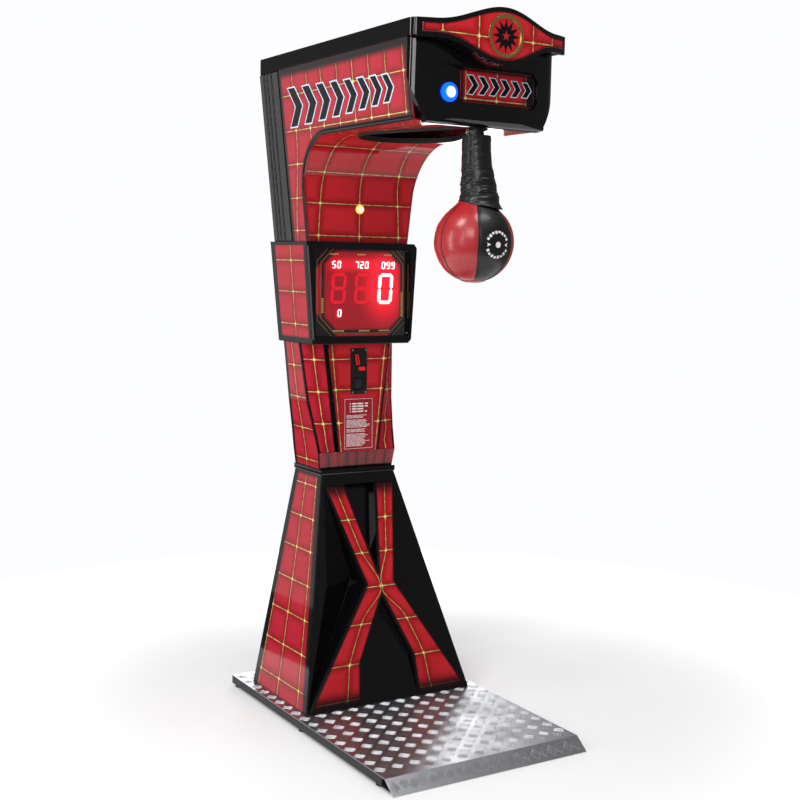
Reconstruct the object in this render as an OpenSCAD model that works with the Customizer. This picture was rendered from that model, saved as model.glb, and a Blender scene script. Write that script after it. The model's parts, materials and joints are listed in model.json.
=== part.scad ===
// Boxing punch machine. Millimetres, +Z up, the player stands on the -Y side.
// Origin: middle of the footprint, on the floor.

/* [Platform] */
// Width of the standing platform
platform_w = 680; // [600:10:760]
// Height of the platform's top sheet above the floor
deck_z = 37; // [37:1:50]
// Height of the rubber feet
foot_h = 9; // [9:1:15]

/* [Cabinet] */
// Half width of the lower cabinet at the platform
cab_half = 306; // [290:2:320]
// Half width of the waist
waist_half = 138; // [130:2:150]
// Height of the waist
waist_z = 749; // [740:1:760]
// Height of the underside of the score display
display_z = 1181; // [1175:1:1186]
// Height of the top of the score display
column_z = 1512; // [1508:1:1516]

/* [Head] */
// Height of the underside of the head
head_z = 1836; // [1830:1:1840]
// Height of the underside of the lid
lid_z = 2054; // [2050:1:2060]
// Thickness of the lid
lid_t = 46; // [40:1:50]
// Height of the crown's tip above the lid's top
crown_rise = 43; // [30:1:60]
// Radius of the curve between column and head
sweep_r = 175; // [160:1:180]

/* [Punch ball] */
// Height of the swing shaft
pivot_z = 1915; // [1910:1:1920]
// Distance from the swing shaft to the middle of the ball
arm_l = 404; // [395:1:405]
// Radius of the ball
ball_r = 115; // [105:1:115]

/* [Hidden] */
$fn = 64;
e = 1;
cut_w = 900;

// Platform
deck_half = platform_w / 2;
rear_y = 525;
deck_front = -489;
toe_y = -535;
sheet_t = 2;
rail_w = 40;
rail_top = deck_z - sheet_t;
rail_rear = rear_y;
rail_front = -470;

// Lower cabinet, front and rear lines in the YZ plane
cab_front = 41;
cab_rear = 428;
waist_front = 274;
waist_rear = 463;
skin_t = 5;
corner = [[cab_front, deck_z], [waist_front, waist_z]];
rear_tilt = atan2(waist_rear - cab_rear, waist_z - deck_z);
rear_len = norm([waist_rear - cab_rear, waist_z - deck_z]);
cross_knee = [113, 401];
cross_head = [270, 722];
cross_edge = 6;
cross_outline = [[0, 428], [64, 721], [131, 723], [51, 409], [295, 40], [113, deck_z], [102, 171],
    [0, 382], [-102, 171], [-113, deck_z], [-295, 40], [-51, 409], [-131, 723], [-64, 721]];

// Service door in the rear sheet, in the sheet's own plane
door_half = 98;
door_z0 = 110;
door_h = 450;
door_t = 12;
door_gap = 2;
hinge_x = -106;
hinge_y = 6;
knuckle_r = 5;
pin_r = 2.5;
run_gap = 0.05;
knuckle_l = 20;
hinge_heights = [150, 460];
lock_x = 80;
lock_z = 335;
lock_r = 9;

// Mid body sections: height, half width of the tongue, its front, half width, side front, rear
mid_sections = [
    [waist_z + 19, 72, 286, 138, 287, 463],
    [824, 77, 280, 145, 281, 465],
    [894, 85, 281, 151, 305, 468],
    [993, 97, 283, 162, 336, 472],
    [display_z, 121, 287, 178, 365, 480]];
mid_skin = 6;
tongue_tilt = atan2(8, 362);
tongue_foot = [276, 824];
coin_z = 1090 - 824;
entry_half = 5.4;
button_x = 8.5;
button_z = 8;

// Score display
display_low = 183;
display_high = 205;
display_front_y = 251;
display_tilt = atan2(8, 320);
display_len = 322;
window_half = 178;
window_z0 = 22;
window_z1 = 304;
window_bulge = 14;

// Column and head
column_half = 186;
head_half = 246;
head_top = lid_z;
sweep_y = 118;
sweep_z = head_z - sweep_r;
column_front = sweep_y + sweep_r;
column_rear = 533;
band_y = 405;
side_front = -380;
side_t = 5;
liner_t = 4;
side_slope = (head_half - column_half) / (head_top - column_z);
post_x = [100, 128];
post_y = [350, 400];

// Swing gear
pivot_y = -364;
shaft_r = 15;
shaft_half = 84;
bearing_x = 60;
bearing_w = 28;
beam_front = -391;
beam_z = 1952;
beam_h = 38;
bolt_z = -98;
opening_r = 155;
opening_tip = 42;
opening_tip_y = -346;

// Front moulding of the head
face_y = -425;
face_half = 253;
face_r = 1111;
corner_r = 50;
recess_half = 175;
recess_z0 = 1885;
recess_z1 = 1990;
recess_y = -404;
start_x = -125;
start_z = 1915;
start_r = 16.5;
digit_x = 97;
digit_pitch = 88;
digit_row = 177;
counter_x = [-95, 7, 114];
counter_row = 254;
low_counter = [-77, 96];
lamp_z = 1620;
hook_at = [34, 1946];
hook_open = 35;
crown_half = 258;
crown_y = -488;
crown_r = 612;
crown_end_y = -431;

// ---------------------------------------------------------------- helpers

// Outline in (Y, Z) pushed out along X, centred
module along_x(w) {
    rotate([90, 0, 90]) linear_extrude(w, center = true) children();
}

// Outline in (X, Z) pushed out along Y from y0 to y1
module along_y(y0, y1) {
    translate([0, y1, 0]) rotate([90, 0, 0]) linear_extrude(y1 - y0) children();
}

// Tube or rod along Y
module rod_y(r, y0, y1) {
    translate([0, y1, 0]) rotate([90, 0, 0]) cylinder(r = r, h = y1 - y0);
}

// Tube or rod along X, centred
module rod_x(r, l) {
    rotate([0, 90, 0]) cylinder(r = r, h = l, center = true);
}

module box(x, y, z) {
    translate([x[0], y[0], z[0]]) cube([x[1] - x[0], y[1] - y[0], z[1] - z[0]]);
}

module both_sides() {
    children();
    mirror([1, 0, 0]) children();
}

module rounded_rect(x0, x1, y0, y1, r) {
    translate([x0 + r, y0]) square([x1 - x0 - 2 * r, y1 - y0]);
    translate([x0, y0 + r]) square([x1 - x0, y1 - y0 - 2 * r]);
    for (x = [x0 + r, x1 - r], y = [y0 + r, y1 - r]) translate([x, y]) circle(r);
}

// Rectangular tube along Z, X or Y from a corner
module tube_z(x, y, z, t) {
    difference() {
        box(x, y, z);
        box([x[0] + t, x[1] - t], [y[0] + t, y[1] - t], [z[0] - e, z[1] + e]);
    }
}

module tube_y(x, y, z, t) {
    difference() {
        box(x, y, z);
        box([x[0] + t, x[1] - t], [y[0] - e, y[1] + e], [z[0] + t, z[1] - t]);
    }
}

module tube_x(x, y, z, t) {
    difference() {
        box(x, y, z);
        box([x[0] - e, x[1] + e], [y[0] + t, y[1] - t], [z[0] + t, z[1] - t]);
    }
}

// Frames of reference of the sloping faces
module on_rear() {
    translate([0, cab_rear, deck_z]) rotate([-rear_tilt, 0, 0]) children();
}

module on_tongue() {
    translate([0, tongue_foot[0], tongue_foot[1]]) rotate([-tongue_tilt, 0, 0]) children();
}

module on_display() {
    translate([0, display_front_y, display_z + 5]) rotate([-display_tilt, 0, 0]) children();
}

// Y of the plane through three points at a given X and Z
function plane_y(p, a, b, c) =
    let (n = cross(b - a, c - a))
    a[1] - (n[0] * (p[0] - a[0]) + n[2] * (p[1] - a[2])) / n[1];

// Flat sheet of thickness t behind the plane a, b, c, with a convex outline in (X, Z),
// listed clockwise as the player sees it
module plane_sheet(outline, a, b, c, t) {
    n = len(outline);
    points = [for (k = [0, 1], p = outline) [p[0], plane_y(p, a, b, c) + k * t, p[1]]];
    front = [for (i = [0 : n - 1]) i];
    back = [for (i = [n - 1 : -1 : 0]) n + i];
    edge = [for (i = [0 : n - 1]) [i, i + n, (i + 1) % n + n, (i + 1) % n]];
    polyhedron(points, concat([front, back], edge));
}

// Solid through stacked rings of [x, y], given as [z, ring]
module loft(rings) {
    n = len(rings[0][1]);
    last = len(rings) - 1;
    points = [for (r = rings, p = r[1]) [p[0], p[1], r[0]]];
    cap0 = [for (i = [n - 1 : -1 : 0]) i];
    cap1 = [for (i = [0 : n - 1]) last * n + i];
    wall = [for (k = [0 : last - 1], i = [0 : n - 1], h = [0, 1])
        let (j = (i + 1) % n, a = k * n + i, b = k * n + j)
        h == 0 ? [a, b, a + n] : [b, b + n, a + n]];
    polyhedron(points, concat([cap0, cap1], wall));
}

// Half width of the column and head at height z
function side_x(z) = column_half + (z - column_z) * side_slope;

// Slab of the column and head's front view between two heights, inset by d
module side_taper(z0, z1, d) {
    polygon([[side_x(z0) - d, z0], [side_x(z1) - d, z1], [-side_x(z1) + d, z1], [-side_x(z0) + d, z0]]);
}

// ---------------------------------------------------------------- platform

module rubber_feet() {
    color("#222222") for (x = [-deck_half + 22, deck_half - 22], y = [-440, 30, 500])
        translate([x, y, 0]) cylinder(r1 = 19, r2 = 17, h = foot_h);
}

module base_side_rails() {
    color("#151515") both_sides()
        tube_y([deck_half - rail_w, deck_half], [rail_front, rail_rear], [foot_h, rail_top], 3);
}

module base_cross_rails() {
    inner = deck_half - rail_w;
    color("#151515") for (y = [-250, 30, 240, rear_y - rail_w])
        tube_x([-inner, inner], [y, y + rail_w], [foot_h, rail_top], 3);
}

module base_nose_rail() {
    color("#151515") along_x(platform_w) difference() {
        polygon([[-519, foot_h], [rail_front, foot_h], [rail_front, rail_top], [deck_front, rail_top - 1]]);
        polygon([[-512, foot_h + 3], [rail_front - 3, foot_h + 3], [rail_front - 3, rail_top - 4],
            [deck_front + 1, rail_top - 4]]);
    }
}

module tread_plate() {
    color("#b9bcc0") along_x(platform_w) polygon([[rear_y, deck_z], [deck_front, deck_z], [toe_y, 1.5],
        [toe_y + 3, 1.5], [deck_front + 1, rail_top], [rear_y, rail_top]]);
}

// ---------------------------------------------------------------- lower cabinet

// Trapezoid of the lower cabinet seen from the front, inset by d
module cabinet_front_view(d) {
    polygon([[cab_half - d, deck_z], [waist_half - d, waist_z], [-waist_half + d, waist_z],
        [-cab_half + d, deck_z]]);
}

module cabinet_sides() {
    front = skin_t + 3;
    color("#b3202c") intersection() {
        along_x(cut_w) polygon([[cab_front + front, deck_z], [cab_rear, deck_z],
            [waist_rear, waist_z], [waist_front + front, waist_z]]);
        along_y(0, 600) difference() {
            cabinet_front_view(0);
            cabinet_front_view(skin_t);
        }
    }
}

module cabinet_rear() {
    inset = skin_t + 0.3;
    top = rear_len - 1;
    color("#141414") on_rear() difference() {
        along_y(-door_t, 0) polygon([[cab_half - inset, 0], [waist_half - inset, top],
            [-waist_half + inset, top], [-cab_half + inset, 0]]);
        along_y(-2 * door_t, door_t) translate([-door_half - door_gap, door_z0 - door_gap])
            square([2 * (door_half + door_gap), door_h + 2 * door_gap]);
        translate([215, 0, 70]) along_y(-2 * door_t, door_t) square([30, 30], center = true);
    }
}

module cross_front(y) {
    polygon([[cab_front + y, deck_z], [cross_knee[0] + y, cross_knee[1]],
        [cross_head[0] + y, cross_head[1]], [waist_front + y, waist_z], [320, waist_z],
        [215, 385], [70, deck_z]]);
}

module front_moulding() {
    waist_pt = [waist_half - 0.5, waist_front, waist_z];
    foot_pt = [cab_half - 0.5, cab_front, deck_z];
    deep_pt = [72, 202, 385];
    color("#101010") union() {
        difference() {
            intersection() {
                along_y(0, 400) offset(delta = cross_edge) polygon(cross_outline);
                along_y(0, 400) cabinet_front_view(skin_t + 0.3);
                along_x(cut_w) cross_front(0);
            }
            intersection() {
                along_y(0, 500) offset(delta = cross_edge - 5) polygon(cross_outline);
                along_x(cut_w) translate([200, 0]) cross_front(-195);
            }
        }
        both_sides() plane_sheet([[285, deck_z], [48, 398], [122, waist_z], [waist_pt[0], waist_z],
            [foot_pt[0], deck_z]], foot_pt, waist_pt, deep_pt, skin_t);
        plane_sheet([[3, 424], [-3, 424], [-66, 746], [66, 746]],
            [0, 172, 428], [10, 172, 428], [0, 315, 745], skin_t);
        plane_sheet([[-117, deck_z], [-105, 173], [-2, 386], [2, 386], [105, 173], [117, deck_z]],
            [0, cab_front, deck_z], [10, cab_front, deck_z], [0, waist_front, waist_z], skin_t);
        intersection() {
            along_x(cut_w) polygon([[263, 716], [waist_front, waist_z], [320, waist_z], [320, 742],
                [282, 742], [276, 716]]);
            along_y(200, 500) cabinet_front_view(skin_t + 0.3);
        }
    }
}

module cross_strips() {
    color("#d8283a") intersection() {
        along_y(0, 400) difference() {
            polygon(cross_outline);
            translate([-cut_w / 2, 0]) square([cut_w, deck_z + 3]);
        }
        along_x(cut_w) difference() {
            cross_front(-2);
            cross_front(0);
            translate([200, 714]) square([150, 60]);
        }
    }
}

module waist_flange() {
    color("#181818") difference() {
        box([-waist_half - 4, waist_half + 4], [waist_front - 4, waist_rear + 4], [waist_z, waist_z + 19]);
        box([-waist_half + 7, waist_half - 7], [waist_front + 20, waist_rear - 16],
            [waist_z - e, waist_z + 20]);
    }
}

module service_door() {
    color("#1b1b1b") on_rear() difference() {
        box([-door_half, door_half], [-door_t, 0], [door_z0, door_z0 + door_h]);
        translate([lock_x, 0, lock_z]) rod_y(lock_r + 0.1, -2 * door_t, door_t);
    }
}

// One hinge: leaf plate of sign s (+1 door, -1 frame) with its knuckles
module leaf(s, knuckles) {
    difference() {
        union() {
            box(s > 0 ? [hinge_x + 9, hinge_x + 36] : [hinge_x - 30, hinge_x - 6], [0, 2],
                [0, 3 * knuckle_l]);
            for (k = knuckles) {
                translate([hinge_x, hinge_y, k[0]]) cylinder(r = knuckle_r, h = k[1] - k[0]);
                box(s > 0 ? [hinge_x, hinge_x + 10] : [hinge_x - 10, hinge_x], [hinge_y - 5, hinge_y - 3],
                    [k[0], k[1]]);
            }
        }
        translate([hinge_x, hinge_y, -e]) cylinder(r = pin_r + run_gap, h = 3 * knuckle_l + 2 * e);
    }
}

module door_hinge_leaves() {
    color("#a8abae") on_rear() for (z = hinge_heights) translate([0, 0, z])
        leaf(1, [[knuckle_l + 0.3, 2 * knuckle_l - 0.3]]);
}

module frame_hinge_leaves() {
    color("#a8abae") on_rear() for (z = hinge_heights) translate([0, 0, z])
        leaf(-1, [[0, knuckle_l], [2 * knuckle_l, 3 * knuckle_l]]);
}

module door_hinge_pins() {
    color("#d0d2d4") on_rear() for (z = hinge_heights) translate([hinge_x, hinge_y, z - 2])
        union() {
            cylinder(r = pin_r, h = 3 * knuckle_l + 3);
            cylinder(r = 4, h = 2);
        }
}

module lock_barrel() {
    color("#c8cacc") on_rear() translate([lock_x, 0, lock_z]) difference() {
        union() {
            rod_y(lock_r, -22, 0);
            rod_y(12, 0, 2.5);
        }
        rod_y(6.05, -24, 4);
    }
}

module lock_cam() {
    color("#9da0a3") on_rear() translate([lock_x, 0, lock_z]) difference() {
        union() {
            rod_y(6, -25, 2);
            translate([-7, -27.5, -7]) cube([14, 2.5, 32]);
        }
        translate([-0.6, 0.5, -3.5]) cube([1.2, 3, 7]);
    }
}

module cash_box() {
    color("#8f9396") difference() {
        box([-88, 88], [175, 345], [deck_z + 2, deck_z + 122]);
        box([-86, 86], [177, 343], [deck_z + 4, deck_z + 124]);
    }
}

module power_supply() {
    color("#9a9da0") box([-215, -135], [230, 385], [deck_z, deck_z + 60]);
}

module power_inlet() {
    color("#202020") on_rear() translate([215, 0, 70]) difference() {
        union() {
            box([-22, 22], [0, 3], [-22, 22]);
            box([-14, 14], [-28, 0], [-14, 14]);
        }
        box([-12, 12], [-18, 4], [-8, 8]);
    }
}

// ---------------------------------------------------------------- mid body

function mid_ring(s, d) = [[s[3] - d, s[5] - d], [s[3] - d, s[4] + d], [s[1] - d / 2, s[2] + 4 + d],
    [-s[1] + d / 2, s[2] + 4 + d], [-s[3] + d, s[4] + d], [-s[3] + d, s[5] - d]];

module mid_shell() {
    last = len(mid_sections) - 1;
    color("#b3202c") difference() {
        loft([for (s = mid_sections) [s[0], mid_ring(s, 0)]]);
        loft([for (i = [0 : last]) let (s = mid_sections[i])
            [s[0] + (i == 0 ? -e : i == last ? e : 0), mid_ring(s, mid_skin)]]);
        box([-36, 36], [250, 330], [1008, 1172]);
    }
}

module tongue_panel() {
    low = mid_sections[1];
    high = mid_sections[4];
    color("#c9283a") difference() {
        on_tongue() along_y(0, 4) polygon([[-low[1], 0], [low[1], 0], [high[1] - 1, display_z - 825],
            [-high[1] + 1, display_z - 825]]);
        on_tongue() translate([0, 0, coin_z]) box([-21, 21], [-5, 10], [-65.5, 65.5]);
        on_tongue() plate_corners() rod_y(2.1, -5, 10);
    }
}

// The four screw places of the coin plate, in the tongue's plane
module plate_corners() {
    for (x = [-25, 25], z = [-70, 70]) translate([x, 0, coin_z + z]) children();
}

// Frame of the slanted coin entry, from the middle of the coin plate
module on_entry() {
    translate([-8, 0, 38]) rotate([0, -12, 0]) children();
}

// Outline of the coin return button, grown by d
module button_outline(d) {
    rounded_rect(-11.5 - d, 11.5 + d, -6.5 - d, 6.5 + d, 3);
}

module coin_plate() {
    color("#1a1a1a") on_tongue() translate([0, 0, coin_z]) difference() {
        along_y(-3, 0) rounded_rect(-30, 30, -75, 75, 5);
        on_entry() box([-entry_half, entry_half], [-10, 10], [-17, 17]);
        translate([button_x, 0, button_z]) along_y(-10, 10) button_outline(0.1);
        box([-17, 17], [-10, 10], [-62, -24]);
        translate([0, 0, -coin_z]) plate_corners() rod_y(2.1, -5, 10);
    }
}

module coin_screws() {
    color("#c8cacc") on_tongue() plate_corners() difference() {
            union() {
                rod_y(2, -3, 10);
                rod_y(3.6, -5, -3);
            }
            box([-0.5, 0.5], [-6, -4], [-2.6, 2.6]);
        }
}

module coin_entry() {
    inner = entry_half - 0.2;
    color("#d0202c") on_tongue() translate([0, 0, coin_z]) on_entry() difference() {
        union() {
            box([-inner, inner], [-9, 24], [-16.8, 16.8]);
            box([-inner - 1, inner + 1], [-5, -3], [-18, 18]);
        }
        box([-2.3, 2.3], [-20, 30], [-14, 14]);
    }
}

module reject_button() {
    color("#e02030") on_tongue() translate([button_x, 0, coin_z + button_z]) union() {
        along_y(-9, 4) button_outline(0);
        rod_y(4, 4, 17);
    }
}

module reject_spring() {
    color("#b0b3b6") on_tongue() translate([button_x, 0, coin_z + button_z]) difference() {
        rod_y(6, 4.1, 24.2);
        rod_y(4.6, 0, 30);
    }
}

module coin_validator() {
    color("#2a2a2a") on_tongue() translate([0, 0, coin_z]) difference() {
        box([-26, 26], [24.3, 75], [-20, 70]);
        on_entry() box([-2.4, 2.4], [10, 60], [-16, 16]);
    }
}

module return_cup() {
    color("#3a3a3a") on_tongue() translate([0, 0, coin_z]) difference() {
        box([-20, 20], [0.1, 46], [-65, -22]);
        box([-17, 17], [-5, 43], [-62, -24]);
        translate([0, 3.5, -27]) rod_x(1.55, 50);
    }
}

module return_flap() {
    color("#30343a") on_tongue() translate([0, 3.5, coin_z - 27]) union() {
        rod_x(1.5, 39);
        box([-16, 16], [-1, 1], [-33, 0]);
    }
}

module rules_plate() {
    color("#c9283a") on_tongue() along_y(-1.5, 0) rounded_rect(-59, 59, 4, 178, 4);
}

// ---------------------------------------------------------------- score display

module display_housing() {
    t = 8;
    front = 12.5;
    color("#b3202c") difference() {
        intersection() {
            along_x(cut_w) polygon([[display_front_y + front, display_z], [display_front_y + 8 + front, column_z],
                [535, column_z], [509, display_z]]);
            along_y(0, 600) polygon([[display_low, display_z], [display_high, column_z],
                [-display_high, column_z], [-display_low, display_z]]);
        }
        intersection() {
            along_x(cut_w) polygon([[0, display_z + t], [0, column_z - t], [535 - t, column_z - t],
                [509 - t, display_z + t]]);
            along_y(0, 600) polygon([[display_low - t, display_z], [display_high - t, column_z],
                [-display_high + t, column_z], [-display_low + t, display_z]]);
        }
        box([-post_x[1] - 3, post_x[1] + 3], [post_y[0] - 3, post_y[1] + 3], [display_z - e, column_z + e]);
    }
}

module display_outline(d) {
    offset(r = 14 - d) offset(delta = -14) polygon([[-display_low, 0], [display_low, 0],
        [display_high, display_len], [-display_high, display_len]]);
}

module display_bezel() {
    color("#161616") on_display() difference() {
        along_y(0, 12) display_outline(0);
        along_y(-5, 20) rounded_rect(-window_half, window_half, window_z0, window_z1, 8);
    }
}

module display_window() {
    r = (window_half * window_half + window_bulge * window_bulge) / (2 * window_bulge);
    color("#e0404050") on_display() translate([0, 0, window_z0 + 0.5]) intersection() {
        linear_extrude(window_z1 - window_z0 - 1) difference() {
            translate([0, r - 3]) circle(r, $fn = 360);
            translate([0, r - 3]) circle(r - 3, $fn = 360);
        }
        along_y(-20, 30) rounded_rect(-window_half + 0.5, window_half - 0.5, 0,
            window_z1 - window_z0 - 1, 8);
    }
}

module score_panel() {
    color("#401014") on_display() along_y(30, 33) square_at(-172, 172, 12, 306);
}

module square_at(x0, x1, y0, y1) {
    translate([x0, y0]) square([x1 - x0, y1 - y0]);
}

// Seven-segment blocks on the score panel: big score digits, then small counters
module score_modules() {
    color("#ff4040") on_display() union() {
        for (k = [0 : 2]) translate([digit_x - k * digit_pitch, 0, digit_row])
            along_y(22, 30) square([46, 104], center = true);
        for (x = counter_x) translate([x, 0, counter_row])
            along_y(24, 30) square([56, 30], center = true);
        translate([low_counter[0], 0, low_counter[1]]) along_y(24, 30) square([20, 30], center = true);
    }
}

module control_board() {
    color("#1f6b3a") union() {
        box([-85, 85], [308, 310], [1250, 1450]);
        for (x = [-50, 0, 45], z = [1290, 1370]) box([x, x + 22], [310, 314], [z, z + 30]);
        box([-80, 80], [310, 320], [1425, 1440]);
    }
}

// ---------------------------------------------------------------- frame inside

module mast_posts() {
    color("#26282a") both_sides() tube_z(post_x, post_y, [deck_z, beam_z], 3);
}

// Two long beams over the mast posts and three cross beams between them
module head_beams() {
    side = [165, 200];
    inner = side[0] - 0.3;
    low = [beam_z, beam_z + beam_h];
    raised = [beam_z + 28, beam_z + beam_h + 20];
    color("#26282a") union() {
        both_sides() tube_y(side, [beam_front, post_y[1]], low, 3);
        tube_x([-inner, inner], [beam_front, beam_front + 50], low, 3);
        tube_x([-inner, inner], [-160, -125], raised, 3);
        tube_x([-inner, inner], post_y, low, 3);
    }
}

module bearing_housings() {
    color("#5c6064") for (x = [-bearing_x, bearing_x]) translate([x, pivot_y, pivot_z])
        difference() {
            union() {
                rod_x(28, bearing_w);
                box([-bearing_w / 2, bearing_w / 2], [-27, 23], [0, beam_z - pivot_z]);
            }
            rod_x(shaft_r + run_gap, bearing_w + 2 * e);
        }
}

// ---------------------------------------------------------------- column and head

// Space in front of the column and under the head, grown by d, in (Y, Z)
module air_outline(d) {
    square_at(-600, sweep_y, column_z - 50, head_z + d);
    square_at(-600, column_front + d, column_z - 50, sweep_z);
    translate([sweep_y, sweep_z]) circle(sweep_r + d, $fn = 180);
}

module head_sides() {
    color("#b3202c") intersection() {
        along_x(cut_w) difference() {
            square_at(side_front, band_y, column_z, head_top);
            air_outline(0);
        }
        along_y(-500, 600) difference() {
            side_taper(column_z, head_top, 0);
            side_taper(column_z, head_top, side_t);
        }
    }
}

module rear_mouldings() {
    color("#141414") intersection() {
        along_x(cut_w) square_at(band_y, 535, column_z, head_top);
        along_y(-500, 600) difference() {
            side_taper(column_z, head_top, -3);
            side_taper(column_z, head_top, side_t);
        }
    }
}

module head_rear_panel() {
    color("#1b1b1b") difference() {
        along_y(528, 533) side_taper(column_z, head_top, side_t + 0.2);
        for (k = [0 : 5]) along_y(500, 600) translate([0, 1900 + 16 * k]) square([120, 6], center = true);
    }
}

// Round-ended drop-shaped opening seen from above
module drop_outline(d) {
    slope = (opening_r - opening_tip) / -opening_tip_y;
    lean = sqrt(1 - slope * slope);
    big = opening_r - d;
    small = opening_tip - d;
    circle(big, $fn = 180);
    translate([0, opening_tip_y]) circle(small);
    polygon([[big * lean, -big * slope], [small * lean, opening_tip_y - small * slope],
        [-small * lean, opening_tip_y - small * slope], [-big * lean, -big * slope]]);
}

module head_liner() {
    color("#c9283a") difference() {
        intersection() {
            along_x(cut_w) difference() {
                air_outline(liner_t);
                air_outline(0);
                square_at(-700, side_front + 0.5, 1000, 2000);
                square_at(-700, 700, 1000, column_z);
            }
            along_y(-500, 600) side_taper(column_z, head_top, side_t + 0.2);
        }
        translate([0, 0, head_z - 20]) linear_extrude(60) drop_outline(0);
        translate([0, 0, lamp_z]) rod_y(11, 250, 350);
    }
}

module opening_trim() {
    color("#101010") translate([0, 0, head_z - 9]) linear_extrude(16) difference() {
        drop_outline(0.1);
        drop_outline(3);
    }
}

module column_lamp() {
    color("#f4d9a0") translate([0, column_front, lamp_z]) union() {
        rod_y(14.5, -5, -0.1);
        rod_y(10.8, -0.1, 22);
        translate([0, -5, 0]) rotate([90, 0, 0]) cylinder(r1 = 13, r2 = 9, h = 3);
    }
}

// Outlines of the head's front moulding, inset by d
module front_plan(d) {
    offset(r = corner_r - d) offset(delta = -corner_r) intersection() {
        translate([0, face_y + face_r]) circle(face_r, $fn = 360);
        square_at(-face_half, face_half, -450, 200);
    }
}

module front_view(d) {
    r = 315.5;
    level = 2012;
    intersection() {
        translate([r - face_half, level]) circle(r - d, $fn = 180);
        translate([face_half - r, level]) circle(r - d, $fn = 180);
        square_at(-300, 300, 1829 + d, level);
    }
    square_at(-face_half + d, face_half - d, level, lid_z);
}

module front_body(d) {
    intersection() {
        translate([0, 0, 1800]) linear_extrude(300) front_plan(d);
        along_y(-500, 100) front_view(d);
        along_x(cut_w) rounded_rect(face_y + d, 100, 1829 + d, 2300, 35 - d);
    }
}

module recess(d) {
    rounded_rect(-recess_half - d, recess_half + d, recess_z0 - d, recess_z1 + d, 35 + d);
}

module head_front() {
    color("#111111") difference() {
        union() {
            difference() {
                front_body(0);
                front_body(skin_t);
            }
            intersection() {
                along_y(-450, recess_y + 3) recess(3);
                front_body(0);
            }
        }
        along_y(-500, recess_y) recess(0);
        box([-400, 400], [side_front, 200], [1700, 2200]);
        translate([0, 0, head_z - 20]) linear_extrude(40) drop_outline(0);
        translate([start_x, 0, start_z]) rod_y(20, -500, -380);
    }
}

module marquee_panel() {
    color("#c9283a") along_y(recess_y - 1.5, recess_y - 0.1) rounded_rect(-87, 165, 1893, 1985, 12);
}

module start_bezel() {
    color("#c8cacc") translate([start_x, 0, start_z]) difference() {
        union() {
            rod_y(26, recess_y - 7, recess_y - 0.1);
            rod_y(19.8, recess_y - 0.1, recess_y + 18);
        }
        rod_y(start_r + 0.1, recess_y - 30, recess_y + 16);
    }
}

module start_button() {
    color("#bcd8ff") translate([start_x, recess_y, start_z]) union() {
        rod_y(start_r, -12, 10);
        translate([0, -12, 0]) rotate([90, 0, 0]) cylinder(r1 = start_r, r2 = 12, h = 2.5);
    }
}

module start_spring() {
    color("#b0b3b6") translate([start_x, recess_y, start_z]) difference() {
        rod_y(9, 10, 16);
        rod_y(7.6, 0, 20);
    }
}

module lid() {
    color("#141414") difference() {
        translate([0, 0, lid_z]) linear_extrude(lid_t) rounded_rect(-258, 258, -431, 535, 32);
        translate([0, 0, lid_z - e]) linear_extrude(lid_t - 5) rounded_rect(-244, 244, -417, 521, 20);
    }
}

// Height of the crown's bell curve at a given X, from 0 to 1
function bell(x) = abs(x) < 200 ? (1 + cos(180 * x / 200)) / 2 : 0;

// Bell-shaped outline of the crown, inset by d
module crown_outline(d) {
    half = crown_half - 8 - d;
    xs = [for (i = [-20 : 20]) half * i / 20];
    polygon(concat([for (x = xs) [x, lid_z + lid_t - 2 + (crown_rise + 2) * bell(x) - d]],
        [for (i = [40 : -1 : 0]) let (x = xs[i]) [x, lid_z - 6 - 59 * bell(x) + d]]));
}

module crown_shape(d) {
    back = crown_end_y - 0.2;
    intersection() {
        translate([0, crown_y + crown_r, 1900]) linear_extrude(300) circle(crown_r - d, $fn = 360);
        along_y(-520, -400) crown_outline(max(d, 0));
        along_x(cut_w) polygon([[-520, 1900], [face_y - 0.5, 1900], [face_y - 0.5, lid_z - 0.3],
            [back, lid_z - 0.3], [back, 2200], [-520, 2200]]);
    }
}

module crown() {
    color("#131313") difference() {
        crown_shape(0);
        translate([0, 30, 0]) intersection() {
            translate([0, -30, 0]) crown_shape(5);
            translate([0, -30, 0]) box([-200, 200], [-600, face_y - 6], [1900, 2200]);
        }
    }
}

module crown_panel() {
    color("#d8283a") intersection() {
        translate([0, crown_y + crown_r, 1900]) linear_extrude(300) difference() {
            circle(crown_r + 1.5, $fn = 360);
            circle(crown_r + 0.05, $fn = 360);
        }
        along_y(-520, -425) crown_outline(13);
    }
}

module emblem() {
    color("#e0b050") translate([0, crown_y, 2066]) difference() {
        rod_y(58, -6, -1.6);
        rod_y(51, -10, -2.6);
    }
}

// ---------------------------------------------------------------- swing gear

module latch_unit() {
    color("#5c6064") difference() {
        union() {
            box([24, 44], [-340.9, -281], [1966, 1990]);
            box([27, 41], [-299, -295], [1938, 1966]);
            box([27, 41], [-285, -281], [1938, 1966]);
            translate([hook_at[0], 0, hook_at[1]]) rod_y(4, -299, -281);
            translate([68, -290, 1976]) rod_x(12, 48);
        }
        box([20, 50], [-294.5, -285.5], [1962, 1967]);
    }
}

module latch_hook() {
    color("#c8cacc") translate([hook_at[0], 0, hook_at[1]]) rotate([0, -hook_open, 0]) difference() {
        along_y(-294, -286) union() {
            circle(7.5);
            square_at(-5, 5, -62, 0);
            square_at(-34, 5, -62, -52);
        }
        rod_y(4 + run_gap, -300, -280);
    }
}

module angle_sensor() {
    color("#202020") translate([0, pivot_y, pivot_z]) difference() {
        box([-88, -74], [-9, 9], [22, beam_z - pivot_z]);
        box([-84, -76], [-10, 10], [20, 34]);
    }
}

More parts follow.
